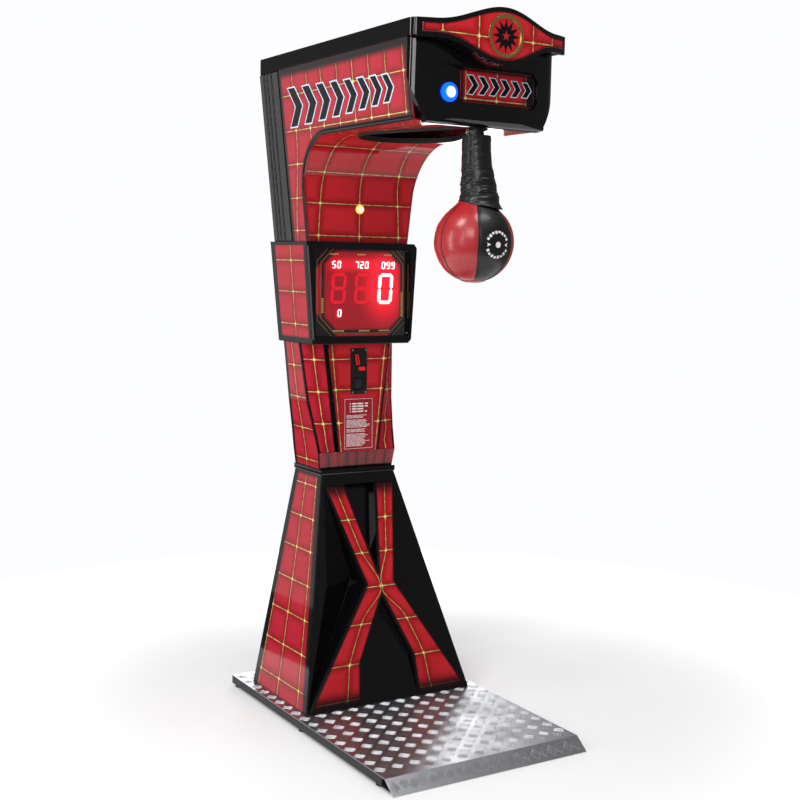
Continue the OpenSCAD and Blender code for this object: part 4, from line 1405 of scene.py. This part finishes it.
class PUNCH_OT_head(bpy.types.Operator):
    """Column and head: printed sides and underside, black edges, rear mouldings, front moulding"""
    bl_idname = "punch.head"
    bl_label = "Column and head"

    def execute(self, context):
        dress_all(("head_sides", "red_laminate", 0.6, 3), ("rear_mouldings", "black_gloss", 2.5, 3),
                  ("head_rear_panel", "black_panel", 0.8, 3), ("head_liner", "red_laminate", 0.6, 3),
                  ("opening_trim", "rubber", 1.0, 3), ("head_front", "black_gloss", 1.5, 3),
                  ("lid", "black_gloss", 6.0, 3), ("column_lamp", "lamp_lens", 1.0, 3),
                  ("mast_posts", "black_steel", 1.5, 3), ("head_beams", "black_steel", 1.5, 3))
        self.sides()
        self.underside()
        self.edges()
        self.ribs()
        return {"FINISHED"}

    def sides(self):
        row = ruler((1547, 1650, 1756, 1860, 1970))
        lines = (-441, -348, -255, -162, -70, 23, 124, 216)
        hollow = SWEEP_Y + SWEEP_R
        stops = [mix(SIDE_FRONT + 1, SWEEP_Y, k / 70) for k in range(70)]
        stops += [SWEEP_Y + SWEEP_R * math.sin(math.pi / 2 * k / 30) for k in range(31)]
        stops += [mix(hollow, SIDE_REAR - 1, k / 16) for k in range(1, 17)]
        last = len(stops) - 1

        def grid(u, v, p):
            first = mix(365, 312, smooth(COLUMN_Z, 1860, p.z))
            a, gap_a = ruler(lines + (first,))(p.y)
            b, gap_b = row(p.z)
            if p.z <= SWEEP_Z:
                edge = p.y - SWEEP_Y - SWEEP_R
            elif p.y > SWEEP_Y:
                edge = math.hypot(p.y - SWEEP_Y, p.z - SWEEP_Z) - SWEEP_R
            else:
                edge = p.z - under_z(p.y)
            black = shade((1, 11, 24, edge), (1, 8, 42, LID_Z - p.z), (1, 5, 34, SIDE_REAR - p.y),
                          (1, 6, 40, p.y - SIDE_FRONT))
            return a, b, gap_a, gap_b, black

        def column(sign):
            def surface(u, v):
                z = mix(COLUMN_Z + 0.5, SWEEP_Z, v)
                return sign * side_x(z), mix(hollow, SIDE_REAR - 1, u), z
            return 24, 30, surface, (sign, 0, 0), grid

        def upper(sign):
            def surface(u, v):
                y = stops[min(last, int(round(u * last)))]
                z = mix(under_z(y) if y < hollow else SWEEP_Z, LID_Z - 1, v)
                return sign * side_x(z), y, z
            return last, 44, surface, (sign, 0, 0), grid
        patches = [kind(sign) for sign in SIDES for kind in (column, upper)]
        printed("head_side_prints", patches, "red_print")

    def underside(self):
        """Red print up the column, round the curve and along the underside beside the opening."""
        rise, arc = SWEEP_Z - COLUMN_Z, SWEEP_R * math.pi / 2
        row = ruler((20, 123, 223, 326, 429, 532, 640))
        across = ruler((-137, 0, 137))
        drop_start = DROP_R + 2

        def along(s):
            """Y and Z on the face at a distance s from the foot of the column."""
            if s < rise:
                return SWEEP_Y + SWEEP_R, COLUMN_Z + s
            if s < rise + arc:
                turn = (s - rise) / SWEEP_R
                return SWEEP_Y + SWEEP_R * math.cos(turn), SWEEP_Z + SWEEP_R * math.sin(turn)
            return SWEEP_Y - (s - rise - arc), HEAD_Z

        def grid_at(s, x, z):
            a, gap_a = across(x * (1 + 0.10 * smooth(COLUMN_Z, HEAD_Z, z)) / 1.1)
            b, gap_b = row(s)
            black = shade((0.85, 0, 12, side_x(z) - abs(x)), (0.6, 0, 24, s))
            return a, b, gap_a, gap_b, black
        end = rise + SWEEP_R * math.acos((drop_start - SWEEP_Y) / SWEEP_R)
        total = rise + arc + SWEEP_Y - SIDE_FRONT

        def main(u, v):
            y, z = along(mix(0.5, end, v))
            half = side_x(z) - 6
            return mix(-half, half, u), y, z

        def main_grid(u, v, p):
            return grid_at(mix(0.5, end, v), p.x, p.z)
        lean = (DROP_R - TIP_R) / -TIP_Y
        reach = math.sqrt(1 - lean ** 2)

        wide_y, tip_y = -DROP_R * lean, TIP_Y - TIP_R * lean

        def drop_half(y):
            """Half width of the drop-shaped opening."""
            if y > wide_y:
                return math.sqrt(max(0, drop_start ** 2 - y ** 2))
            if y > tip_y:
                return mix(DROP_R, TIP_R, (y - wide_y) / (tip_y - wide_y)) * reach + 2
            return math.sqrt(max(0, (TIP_R + 2) ** 2 - (y - TIP_Y) ** 2))

        def wing(sign):
            def surface(u, v):
                y, z = along(mix(end, total - 1, v))
                return sign * mix(drop_half(y), side_x(z) - 6, u), y, z

            def grid(u, v, p):
                return grid_at(mix(end, total - 1, v), p.x, p.z)
            return 24, 90, surface, (0, 0, -1), grid
        patches = [(60, 64, main, (0, -1, -0.5), main_grid), wing(-1), wing(1)]
        printed("underside_print", patches, "cross_print")

    def edges(self):
        """Black moulding along the hollow edge of both sides."""
        inset = 6.5
        r = SWEEP_R + inset
        path = [(SWEEP_Y + r, mix(COLUMN_Z + 2, SWEEP_Z, k / 15)) for k in range(15)]
        for k in range(41):
            turn = math.pi / 2 * k / 40
            path.append((SWEEP_Y + r * math.cos(turn), SWEEP_Z + r * math.sin(turn)))
        path += [(mix(SWEEP_Y, SIDE_FRONT + 1, k / 39), HEAD_Z + inset) for k in range(1, 40)]
        for sign, name in zip(SIDES, ("edge_moulding_left", "edge_moulding_right")):
            points, faces = [], []
            self.side_bead(points, faces, sign, path, 0.4, 6.2, 3.0)
            add_piece(name, points, faces, "black_gloss", "body", angle=60)

    def ribs(self):
        """Upright ribs of the rear mouldings."""
        points, faces = [], []
        for sign in SIDES:
            for y in (504, 481, 452):
                path = [(y, mix(COLUMN_Z + 1, LID_Z - 1, k / 12)) for k in range(13)]
                self.side_bead(points, faces, sign, path, 3.0, 4.5, 2.6)
        add_piece("rear_moulding_ribs", points, faces, "black_gloss", "body", angle=60)

    def side_bead(self, points, faces, sign, path, out, half, height):
        """Half-round moulding along a path of (Y, Z) on one side."""
        place = on_side(sign)
        normals = [Vector((sign, 0, -0.11)).normalized()] * len(path)
        bead(points, faces, [place(y, z, out) for y, z in path], normals, half, height)


def chevron(x, z, width, height, thick):
    """Arrow-shaped chevron, centred at (x, z)."""
    h = height / 2
    return [(x - width / 2, z - h), (x - width / 2 + thick, z - h), (x + width / 2, z),
            (x - width / 2 + thick, z + h), (x - width / 2, z + h), (x + width / 2 - thick, z)]


def grown(outline, d):
    """Outline moved outwards by d, its corners mitred."""
    n = len(outline)
    area = sum(outline[i][0] * outline[(i + 1) % n][1] - outline[(i + 1) % n][0] * outline[i][1]
               for i in range(n))
    turn = 1 if area > 0 else -1
    out = []
    for i in range(n):
        a, b, c = (Vector(outline[(i + k) % n]) for k in (-1, 0, 1))
        n0 = Vector(((b - a).y, -(b - a).x)).normalized() * turn
        n1 = Vector(((c - b).y, -(c - b).x)).normalized() * turn
        middle = (n0 + n1)
        out.append(tuple(b + middle * (d / max(0.5, 1 + n0.dot(n1)))))
    return out


class PUNCH_OT_graphics(bpy.types.Operator):
    """Raised generic chevrons on the head's sides and beside the start button"""
    bl_idname = "punch.graphics"
    bl_label = "Graphics"

    def execute(self, context):
        dress("marquee_panel", "red_laminate", 0.4)
        self.side_signs()
        self.marquee()
        return {"FINISHED"}

    def side_signs(self):
        """A row of like chevrons, larger towards the rear."""
        rings, y, last = [], 300, 7
        for k in range(last + 1):
            size = mix(1.0, 0.62, k / last)
            row = chevron(-y, 1932, 88 * size, 118 * size, 44 * size)
            rings.append([(-p, q) for p, q in row])
            y -= 96 * size
        outlines = [grown(ring, 4.5) for ring in rings]
        for name, shapes, back, front, material in (
                ("side_sign_outlines", outlines, 0.62, 0.95, "blue_ink"),
                ("side_signs", rings, 0.9, 1.3, "black_ink")):
            points, faces = [], []
            for sign in SIDES:
                for ring in shapes:
                    prism(points, faces, ring, on_side(sign), back, front)
            add_piece(name, points, faces, material, "body")

    def marquee(self):
        """Print and chevrons of the panel beside the start button."""
        y = low("marquee_panel", 1)
        x0, x1 = low("marquee_panel", 0) + 1.5, high("marquee_panel", 0) - 1.5
        z0, z1 = low("marquee_panel", 2) + 1.5, high("marquee_panel", 2) - 1.5
        column, row = ruler((-70, 36, 137)), ruler((1821, 1903, 1985))

        def surface(u, v):
            return mix(x0, x1, u), y, mix(z0, z1, v)

        def grid(u, v, p):
            a, gap_a = column(p.x)
            b, gap_b = row(p.z)
            black = max(smooth(100, 158, p.x), shade((1, 0, 16, p.x - x0), (1, 0, 12, z1 - p.z),
                                                     (0.9, 0, 10, p.z - z0)))
            return a, b, gap_a, gap_b, black
        printed("marquee_print", [(70, 26, surface, (0, -1, 0), grid)], "cross_print")

        def place(x, z, depth):
            return Vector((x, y - depth, z))
        rings = [chevron(-46 + 37 * k, 1941, 36 - k, 50 - 2 * k, 17) for k in range(6)]
        plates("marquee_sign_outlines", [grown(r, 2.4) for r in rings], place, 0.62, 0.9, "blue_ink")
        plates("marquee_signs", rings, place, 0.88, 1.2, "black_ink")


class PUNCH_OT_crown(bpy.types.Operator):
    """Bell-shaped crown with its printed panel, gold ring and burst"""
    bl_idname = "punch.crown"
    bl_label = "Crown"

    def execute(self, context):
        dress_all(("crown", "black_gloss", 3.5, 3), ("crown_panel", "red_laminate"),
                  ("emblem", "gold_plastic", 0.8))
        half = high("crown_panel", 0) - 2
        column, row = ruler((-271, -186, -84, 101, 182, 262)), ruler((1960, 2063, 2166))
        rise, drop, wave = 45, 59, 200

        def bell(x):
            return (1 + math.cos(math.pi * x / wave)) / 2 if abs(x) < wave else 0

        def surface(u, v):
            x = mix(-half, half, u)
            bottom, top = LID_Z + 8.5 - drop * bell(x), LID_TOP - 14.5 + rise * bell(x)
            y = CROWN_Y + CROWN_R - math.sqrt((CROWN_R + 1.5) ** 2 - x * x)
            return x, y, mix(bottom, top, v)

        def grid(u, v, p):
            a, gap_a = column(p.x)
            b, gap_b = row(p.z + 6 * bell(p.x))
            height = 16 + (drop + rise) * bell(p.x)
            black = shade((0.9, -1, 7, v * height), (0.9, -1, 7, (1 - v) * height),
                          (0.8, 0, 10, half - abs(p.x)))
            return a, b, gap_a, gap_b, black
        printed("crown_print", [(110, 26, surface, (0, -1, 0), grid)], "cross_print",
                lift=0.1, thick=0.4)
        self.burst()
        return {"FINISHED"}

    def burst(self):
        """Black burst with a red star, on a red disc inside the gold ring."""
        def place(x, z, depth):
            return Vector((x, CROWN_Y - 2.2 - depth, 2066 + z))

        def star(points, outer, inner):
            ring = []
            for k in range(2 * points):
                angle = math.pi * k / points
                r = outer if k % 2 == 0 else inner
                ring.append((r * math.sin(angle), r * math.cos(angle)))
            return ring
        for name, ring, back, front, material in (
                ("emblem_disc", circle(47.5, 60), 0.05, 0.7, "emblem_red"),
                ("emblem_burst", star(12, 44, 24), 0.65, 1.5, "black_ink"),
                ("emblem_star", star(5, 14, 5.8), 1.45, 2.2, "emblem_red")):
            plates(name, [ring], place, back, front, material)


class PUNCH_OT_start(bpy.types.Operator):
    """Start button in its ring"""
    bl_idname = "punch.start"
    bl_label = "Start button"

    def execute(self, context):
        dress_all(("start_bezel", "blue_lens", 1.2), ("start_button", "blue_lens", 1.0))

        def place(p, q, depth):
            return Vector((START_X + p, RECESS_Y + depth, START_Z + q))
        coil("start_spring_coil", "start_spring", place, 8.3, 0.5, 10.1, 16, 3)
        return {"FINISHED"}


# ------------------------------------------------------------------ swing gear, ball and sleeve

SEAM_AT = math.radians(-118.5)
SKIN_R = BALL_R - 0.8
RED_GORES = (1, 2, 4, 5)
GORE_SIDES = 20


def around_ball(radius, turn, height):
    return Vector((radius * math.cos(turn), PIVOT_Y + radius * math.sin(turn), BALL_Z + height))


class PUNCH_OT_ball(bpy.types.Operator):
    """Leather ball with piped seams, a printed target, a base patch and its folded sleeve"""
    bl_idname = "punch.ball"
    bl_label = "Ball and sleeve"

    def execute(self, context):
        settings = context.scene.punch_ball
        ball = self.ball(settings)
        self.piping(settings)
        self.target()
        self.base_ring()
        sleeve = self.sleeve(settings)
        return {"FINISHED"}

    def radius(self, height):
        """Radius of the ball's skin: a sphere with a cone drawn up from it into a neck."""
        if height < SKIN_R * math.sqrt(0.5):
            return math.sqrt(max(0, SKIN_R * SKIN_R - height * height))
        return max(38, SKIN_R * math.sqrt(2) - height)

    def ball(self, settings):
        gores = settings.gores
        groove = settings.groove / MM
        sides, half_gore, neck = gores * GORE_SIDES, GORE_SIDES // 2, 66
        heights = [-SKIN_R * math.cos(math.pi * k / 60) for k in range(1, 43)]
        heights = [h for h in heights if h < neck] + [neck + 7.5 * k for k in range(13)]
        points = []
        for h in heights:
            for s in range(sides):
                turn = SEAM_AT + math.tau * s / sides
                r = self.radius(h)
                away = abs((s + half_gore) % GORE_SIDES - half_gore)
                off = away / GORE_SIDES * math.tau / gores * r
                r -= groove * math.exp(-(off / 3.2) ** 2) * (1 if abs(h) < 108 else 0.4)
                crease = noise.noise(Vector((math.cos(turn) * 2.2, math.sin(turn) * 2.2, h / 30)))
                r += 0.5 * crease + 2.2 * crease * smooth(60, 120, h)
                r = min(r, BALL_R - 0.2)
                points.append(around_ball(r, turn, h))
        rings = len(heights)
        faces = skin(rings, sides)
        ring_colours = [0 if s // GORE_SIDES in RED_GORES else 1 for s in range(sides)]
        colours = ring_colours * (rings - 1) + [c for c in ring_colours for _ in (0, 1)]
        bottom, top, last = len(points), len(points) + 1, (rings - 1) * sides
        points += [around_ball(0, 0, -BALL_R + 0.6), around_ball(0, 0, heights[-1])]
        for s in range(sides):
            t = (s + 1) % sides
            faces += [(s, bottom, t), (last + t, top, last + s)]
        obj = add_piece("ball_leather", points, faces, ["red_leather", "black_leather"], "swing",
                        ("punch_ball",), 80)
        obj.data.polygons.foreach_set("material_index", colours)
        return obj

    def piping(self, settings):
        """Thin round piping along every seam."""
        points, faces = [], []
        for g in range(settings.gores):
            turn = SEAM_AT + math.tau * g / settings.gores
            path, normals = [], []
            for k in range(47):
                h = mix(-104, 96, k / 46)
                r = self.radius(h) - 1.0
                path.append(around_ball(r, turn, h))
                slope = (self.radius(h + 1) - self.radius(h - 1)) / 2
                normals.append(Vector((math.cos(turn), math.sin(turn), -slope)).normalized())
            bead(points, faces, path, normals, 1.3, 1.3, 6)
        add_piece("ball_piping", points, faces, "black_leather", "swing", angle=70)

    def target(self):
        """Dot, broken ring and two arrowheads printed on a black gore."""
        middle = SEAM_AT + math.radians(30)
        out = Vector((math.cos(middle), math.sin(middle), -0.07)).normalized()
        right = out.cross(Vector((0, 0, 1))).normalized() * -1
        up = right.cross(out).normalized() * (1 if right.cross(out).z > 0 else -1)
        centre = Vector((0, PIVOT_Y, BALL_Z))

        def place(p, q, depth):
            way = (out * BALL_R + right * p + up * q).normalized()
            return centre + way * (BALL_R - 1.2 + depth)

        def block(r0, r1, start, end):
            turns = [mix(start, end, k / 3) for k in range(4)]
            ring = [(r1 * math.cos(t), r1 * math.sin(t)) for t in turns]
            return ring + [(r0 * math.cos(t), r0 * math.sin(t)) for t in reversed(turns)]
        rings = [circle(8.5, 28)]
        for k in range(20):
            if k % 10 not in (9, 0):
                start, end = (math.tau * (k + share) / 20 for share in (0.18, 0.82))
                rings.append(block(32 if k % 2 else 34, 41, start, end))
        rings += [[(s * 24, 0), (s * 37, 6), (s * 34, 0), (s * 37, -6)] for s in SIDES]
        plates("ball_target", rings, place, -1.0, 1.1, "white_ink", "swing")

    def base_ring(self):
        """Stitched round patch under the ball."""
        profile = ((4, -0.4), (20, 0.4), (33, 4.2), (35.5, 6.2), (34, 8.6), (10, 6))
        points, faces = lathe([(r, h - BALL_R) for r, h in profile], around_ball, 64)
        add_piece("ball_base_patch", points, faces, "red_leather", "swing", angle=60)

    def sleeve(self, settings):
        """Soft leather tube, gathered towards its flared foot."""
        depth = settings.folds / MM
        sides, rings = 128, 84
        foot_narrow, foot_wide, top = 112, 93, 298
        narrow = ((foot_narrow, 46), (135, 41), (top, 41))
        wide = ((foot_wide, 79), (108, 72), (130, 65), (160, 59.5), (190, 53), (220, 46),
                (250, 43), (top, 41))
        lean = math.radians(-38)
        turns = [math.tau * s / sides for s in range(sides)]
        leans = [0.5 + 0.5 * math.cos(turn - lean) for turn in turns]
        points = []
        for k in range(rings):
            v = k / (rings - 1)
            for turn, share in zip(turns, leans):
                skirt = share ** 1.2
                foot = mix(foot_narrow, foot_wide, skirt)
                h = mix(foot, top, v)
                base = mix(chain(h, narrow), chain(h, wide), skirt)
                gather = (1 - smooth(0.28, 0.62, v)) * smooth(0.0, 0.1, v)
                p = Vector((math.cos(turn) * 1.1, math.sin(turn) * 1.1, h / 15))
                wave = noise.noise(p + Vector((3.1, 0, 0))) + 0.5 * noise.noise(p * 2.1)
                fold = Vector((p.x * 0.9, p.y * 0.9, h / 11.0 + 2 * math.sin(turn)))
                ridge = 1 - 2 * abs(noise.noise(fold))
                flute = math.sin(turn * 7 + h / 26) * 0.6 + math.sin(turn * 4 - h / 40 + 1)
                r = base + depth * gather * (0.75 * wave + 0.55 * (ridge - 0.5))
                r += 0.9 * (1 - gather) * (flute * 0.5 + wave * 1.3)
                seam = math.remainder(turn - math.radians(200), math.tau)
                r += 1.8 * math.exp(-(seam * base / 3.2) ** 2) - 0.8 * math.exp(-(seam * base / 9) ** 2)
                r += 1.2 * math.exp(-((h - foot - 3) / 2.5) ** 2)
                points.append(around_ball(r, turn, h))
        faces = skin(rings, sides)
        inner, last = len(points), (rings - 1) * sides
        points += [around_ball(mix(40, 70, a), turn, mix(120, 104, a)) for turn, a in zip(turns, leans)]
        points += [around_ball(19, turn, top - 3) for turn in turns]
        upper = inner + sides
        for s in range(sides):
            t = (s + 1) % sides
            faces += [(s, inner + s, inner + t, t), (inner + s, upper + s, upper + t, inner + t),
                      (last + s, last + t, upper + t, upper + s)]
        return add_piece("ball_sleeve_folds", points, faces, "black_leather", "swing",
                         ("ball_sleeve",), 80)


class PUNCH_OT_swing_gear(bpy.types.Operator):
    """Arm, bearings, latch and angle sensor, with the arm's bolts and its black leather boot"""
    bl_idname = "punch.swing_gear"
    bl_label = "Swing gear"

    def execute(self, context):
        dress_all(("bearing_housings", "cast_grey", 1.5), ("latch_unit", "black_steel", 0.8),
                  ("latch_hook", "zinc_steel", 0.6), ("angle_sensor", "black_plastic", 0.8),
                  ("swing_arm", "zinc_steel", 0.8))
        bolts = [((-36.4, PIVOT_Y - 5, PIVOT_Z - 98), (-1, 0, 0))]
        bolts += [((x, PIVOT_Y - 24.3, PIVOT_Z + dz), (0, -1, 0)) for x in (-14, 14) for dz in (-8, 8)]
        screws("arm_bolts", bolts, 5.2, "swing")
        profile = ((18.2, 299), (20.4, 299), (21.2, 302), (20.2, 309), (21.0, 316), (20.0, 322),
                   (18.2, 324))
        points, faces = lathe(profile, around_ball, 48)
        add_piece("neck_boot", points, faces, "black_leather", "swing", angle=60)
        return {"FINISHED"}


# ------------------------------------------------------------------ rear and inside

class PUNCH_OT_rear(bpy.types.Operator):
    """Service door with hinges and lock, mains inlet and the screws of the rear panels"""
    bl_idname = "punch.rear"
    bl_label = "Rear"

    def execute(self, context):
        dress_all(("service_door", "black_panel", 1.2), ("door_hinge_leaves", "zinc_steel", 0.4),
                  ("frame_hinge_leaves", "zinc_steel", 0.4), ("door_hinge_pins", "zinc_steel", 0.5),
                  ("lock_barrel", "chrome", 0.6), ("lock_cam", "zinc_steel", 0.4),
                  ("power_inlet", "black_plastic", 0.6))
        back = on_rear(0, 1, 0) - on_rear(0, 0, 0)
        head_y, length, screw_r = 531.9, 712, 4.6
        hinge_heights = [z + dz for z in (150, 460) for dz in (14, 46)]
        spots = [(on_rear(s * (mix(CAB_HALF, WAIST_HALF, z / length) - 20), 0, z), back)
                 for s in SIDES for z in (40, 150, 260, 370, 480, 590, 680)]
        spots += [(on_rear(215 + dx, 3, 70 - dx), back) for dx in (-18, 18)]
        spots += [(on_rear(-127, 2, z), back) for z in hinge_heights]
        spots += [(Vector((s * (side_x(z) - 22), head_y, z)), (0, 1, 0))
                  for s in SIDES for z in (1540, 1640, 1740, 1840, 1940, 2030)]
        spots += [(Vector((x, head_y, 2032)), (0, 1, 0)) for x in (-110, 0, 110)]
        screws("rear_screws", spots, screw_r, "body")
        screws("door_screws", [(on_rear(-82, 2, z), back) for z in hinge_heights], screw_r, "door")
        self.door_frame(back)
        return {"FINISHED"}

    def door_frame(self, back):
        """Raised pressing around the door and pressed louvres on it."""
        def place(x, z, out):
            return on_rear(x, out, z)
        half, z0, z1, w = 90, 118, 552, 4
        rings = [rect(-half, half, z0, z0 + w), rect(-half, half, z1 - w, z1),
                 rect(half - w, half, z0 + w, z1 - w)]
        plates("door_pressing", rings, place, 0.05, 1.6, "black_panel", "door")
        points, faces = [], []
        for k in range(7):
            z = 400 + 18 * k
            path = [place(x, z, 0.05) for x in (-50, -47, -30, 0, 30, 47, 50)]
            bead(points, faces, path, [back] * len(path), 5, 3.2, 6)
        add_piece("door_louvres", points, faces, "black_panel", "door", angle=60)


class PUNCH_OT_inside(bpy.types.Operator):
    """Cash box, power supply and control board with their small parts"""
    bl_idname = "punch.inside"
    bl_label = "Inside"

    def execute(self, context):
        dress_all(("cash_box", "zinc_steel", 0.5), ("power_supply", "zinc_steel", 1.0),
                  ("control_board", "circuit_board", 0.3))
        draw = random.Random(5)
        points, faces = [], []

        def place(x, z, out):
            return Vector((x, 310 + out, z))
        chips = [(a, b) for a in (-50, 0, 45) for b in (1290, 1370)]
        for _ in range(26):
            x, z = draw.uniform(-78, 74), draw.uniform(1256, 1410)
            if any(a - 4 < x < a + 26 and b - 4 < z < b + 34 for a, b in chips):
                continue
            w, h = draw.uniform(3, 8), draw.uniform(2, 6)
            prism(points, faces, rect(x, x + w, z, z + h), place, 0.02, 1.6)
        add_piece("board_parts", points, faces, "black_plastic", "body")
        return {"FINISHED"}


# ------------------------------------------------------------------ stage

# Lamps in metres: name, place, aim, width and height, share of the key light's power
SOFTBOXES = (
    ("key", (-2.6, -2.9, 3.2), (0, 0, 1.2), (1.4, 1.8), 1.0),
    ("strip_left", (-3.4, 0.6, 1.5), (0, 0.1, 1.2), (0.5, 2.6), 0.7),
    ("strip_corner", (-3.0, -1.6, 2.0), (0, -0.2, 1.6), (0.14, 1.9), 0.25),
    ("wash", (-2.2, 3.6, 1.3), (0, 0.2, 1.2), (1.2, 2.2), 0.11),
    ("high_left", (-2.0, -0.4, 3.9), (0, -0.3, 1.4), (0.9, 0.9), 0.8),
    ("top", (0.4, -1.4, 4.2), (0, 0, 0), (1.6, 1.0), 0.7),
    ("back", (1.9, 3.6, 1.7), (0, 0, 0.8), (1.8, 1.6), 0.7),
)
CAMERA_PLACE = (-2.0931, -3.3546, 1.4447)
CAMERA_WAY = Vector((0.52429, 0.84487, -0.10638))
CAMERA_ROLL = math.radians(1.12)
CAMERA_LENS = 57.15


class PUNCH_OT_stage(bpy.types.Operator):
    """Pale floor, soft studio lights and the camera"""
    bl_idname = "punch.stage"
    bl_label = "Stage"

    def execute(self, context):
        settings = context.scene.punch_studio
        mesh = bpy.data.meshes.new("studio_floor")
        ring = [(x, y, 0) for x, y in circle(2.4, 96)]
        mesh.from_pydata(ring, [], [list(range(len(ring)))])
        mesh.materials.append(floor_finish())
        linked("studio_floor", mesh)
        world = bpy.data.worlds.new("pale_room")
        world.use_nodes = True
        room = Tree(world.node_tree)
        seen = room.add("ShaderNodeLightPath")
        glossy = room.all_outputs(seen)[3]
        hidden = settings.sky * (1 - settings.gloss)
        strength = settings.sky + (1 - settings.sky) * seen - hidden * glossy
        sky = world.node_tree.nodes["Background"]
        sky.inputs["Color"].default_value = (0.98, 0.985, 1.0, 1)
        room.tree.links.new(strength.socket, sky.inputs["Strength"])
        context.scene.world = world
        context.scene.view_settings.view_transform = "Standard"
        for name, place, aim, size, share in SOFTBOXES:
            self.softbox(name, place, aim, size, settings.key * share)
        self.camera(context.scene)
        return {"FINISHED"}

    def softbox(self, name, place, aim, size, power):
        lamp = bpy.data.lights.new(name, "AREA")
        lamp.shape = "RECTANGLE"
        lamp.size, lamp.size_y = size
        lamp.energy = power
        obj = linked(name, lamp)
        obj.location = place
        obj.rotation_euler = (Vector(aim) - Vector(place)).to_track_quat("-Z", "Y").to_euler()
        obj.visible_camera = False

    def camera(self, scene):
        forward = CAMERA_WAY.normalized()
        right = forward.cross(Vector((0, 0, 1))).normalized()
        up = right.cross(forward)
        tilted_right = right * math.cos(CAMERA_ROLL) + up * math.sin(CAMERA_ROLL)
        tilted_up = up * math.cos(CAMERA_ROLL) - right * math.sin(CAMERA_ROLL)
        lens = bpy.data.cameras.new("camera")
        lens.lens = CAMERA_LENS
        lens.sensor_width = 36
        lens.clip_end = 200
        turn = Matrix((tilted_right, tilted_up, -forward)).transposed()
        obj = linked("camera", lens)
        obj.matrix_world = Matrix.Translation(CAMERA_PLACE) @ turn.to_4x4()
        scene.camera = obj


STEPS = (PUNCH_OT_platform, PUNCH_OT_cabinet, PUNCH_OT_middle, PUNCH_OT_coin_parts, PUNCH_OT_display,
         PUNCH_OT_head, PUNCH_OT_graphics, PUNCH_OT_crown, PUNCH_OT_start, PUNCH_OT_ball,
         PUNCH_OT_swing_gear, PUNCH_OT_rear, PUNCH_OT_inside, PUNCH_OT_stage)


class PUNCH_PT_panel(bpy.types.Panel):
    bl_label = "Punch machine"
    bl_idname = "PUNCH_PT_panel"
    bl_space_type = "VIEW_3D"
    bl_region_type = "UI"
    bl_category = "Punch machine"

    def draw(self, context):
        scene = context.scene
        for group in (scene.punch_print, scene.punch_tread, scene.punch_display, scene.punch_ball,
                      scene.punch_studio):
            box = self.layout.box()
            for name in group.__annotations__:
                box.prop(group, name)
        for step in STEPS:
            self.layout.operator(step.bl_idname)


GROUPS = {"punch_print": PrintSettings, "punch_tread": TreadSettings, "punch_display": DisplaySettings,
          "punch_ball": BallSettings, "punch_studio": StudioSettings}


def register():
    for name, group in GROUPS.items():
        bpy.utils.register_class(group)
        setattr(bpy.types.Scene, name, PointerProperty(type=group))
    for cls in (*STEPS, PUNCH_PT_panel):
        bpy.utils.register_class(cls)


def unregister():
    for cls in reversed((*STEPS, PUNCH_PT_panel)):
        bpy.utils.unregister_class(cls)
    for name, group in GROUPS.items():
        delattr(bpy.types.Scene, name)
        bpy.utils.unregister_class(group)


def main():
    register()
    for step in STEPS:
        area, name = step.bl_idname.split(".")
        getattr(getattr(bpy.ops, area), name)()
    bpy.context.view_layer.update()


if __name__ == "__main__":
    main()
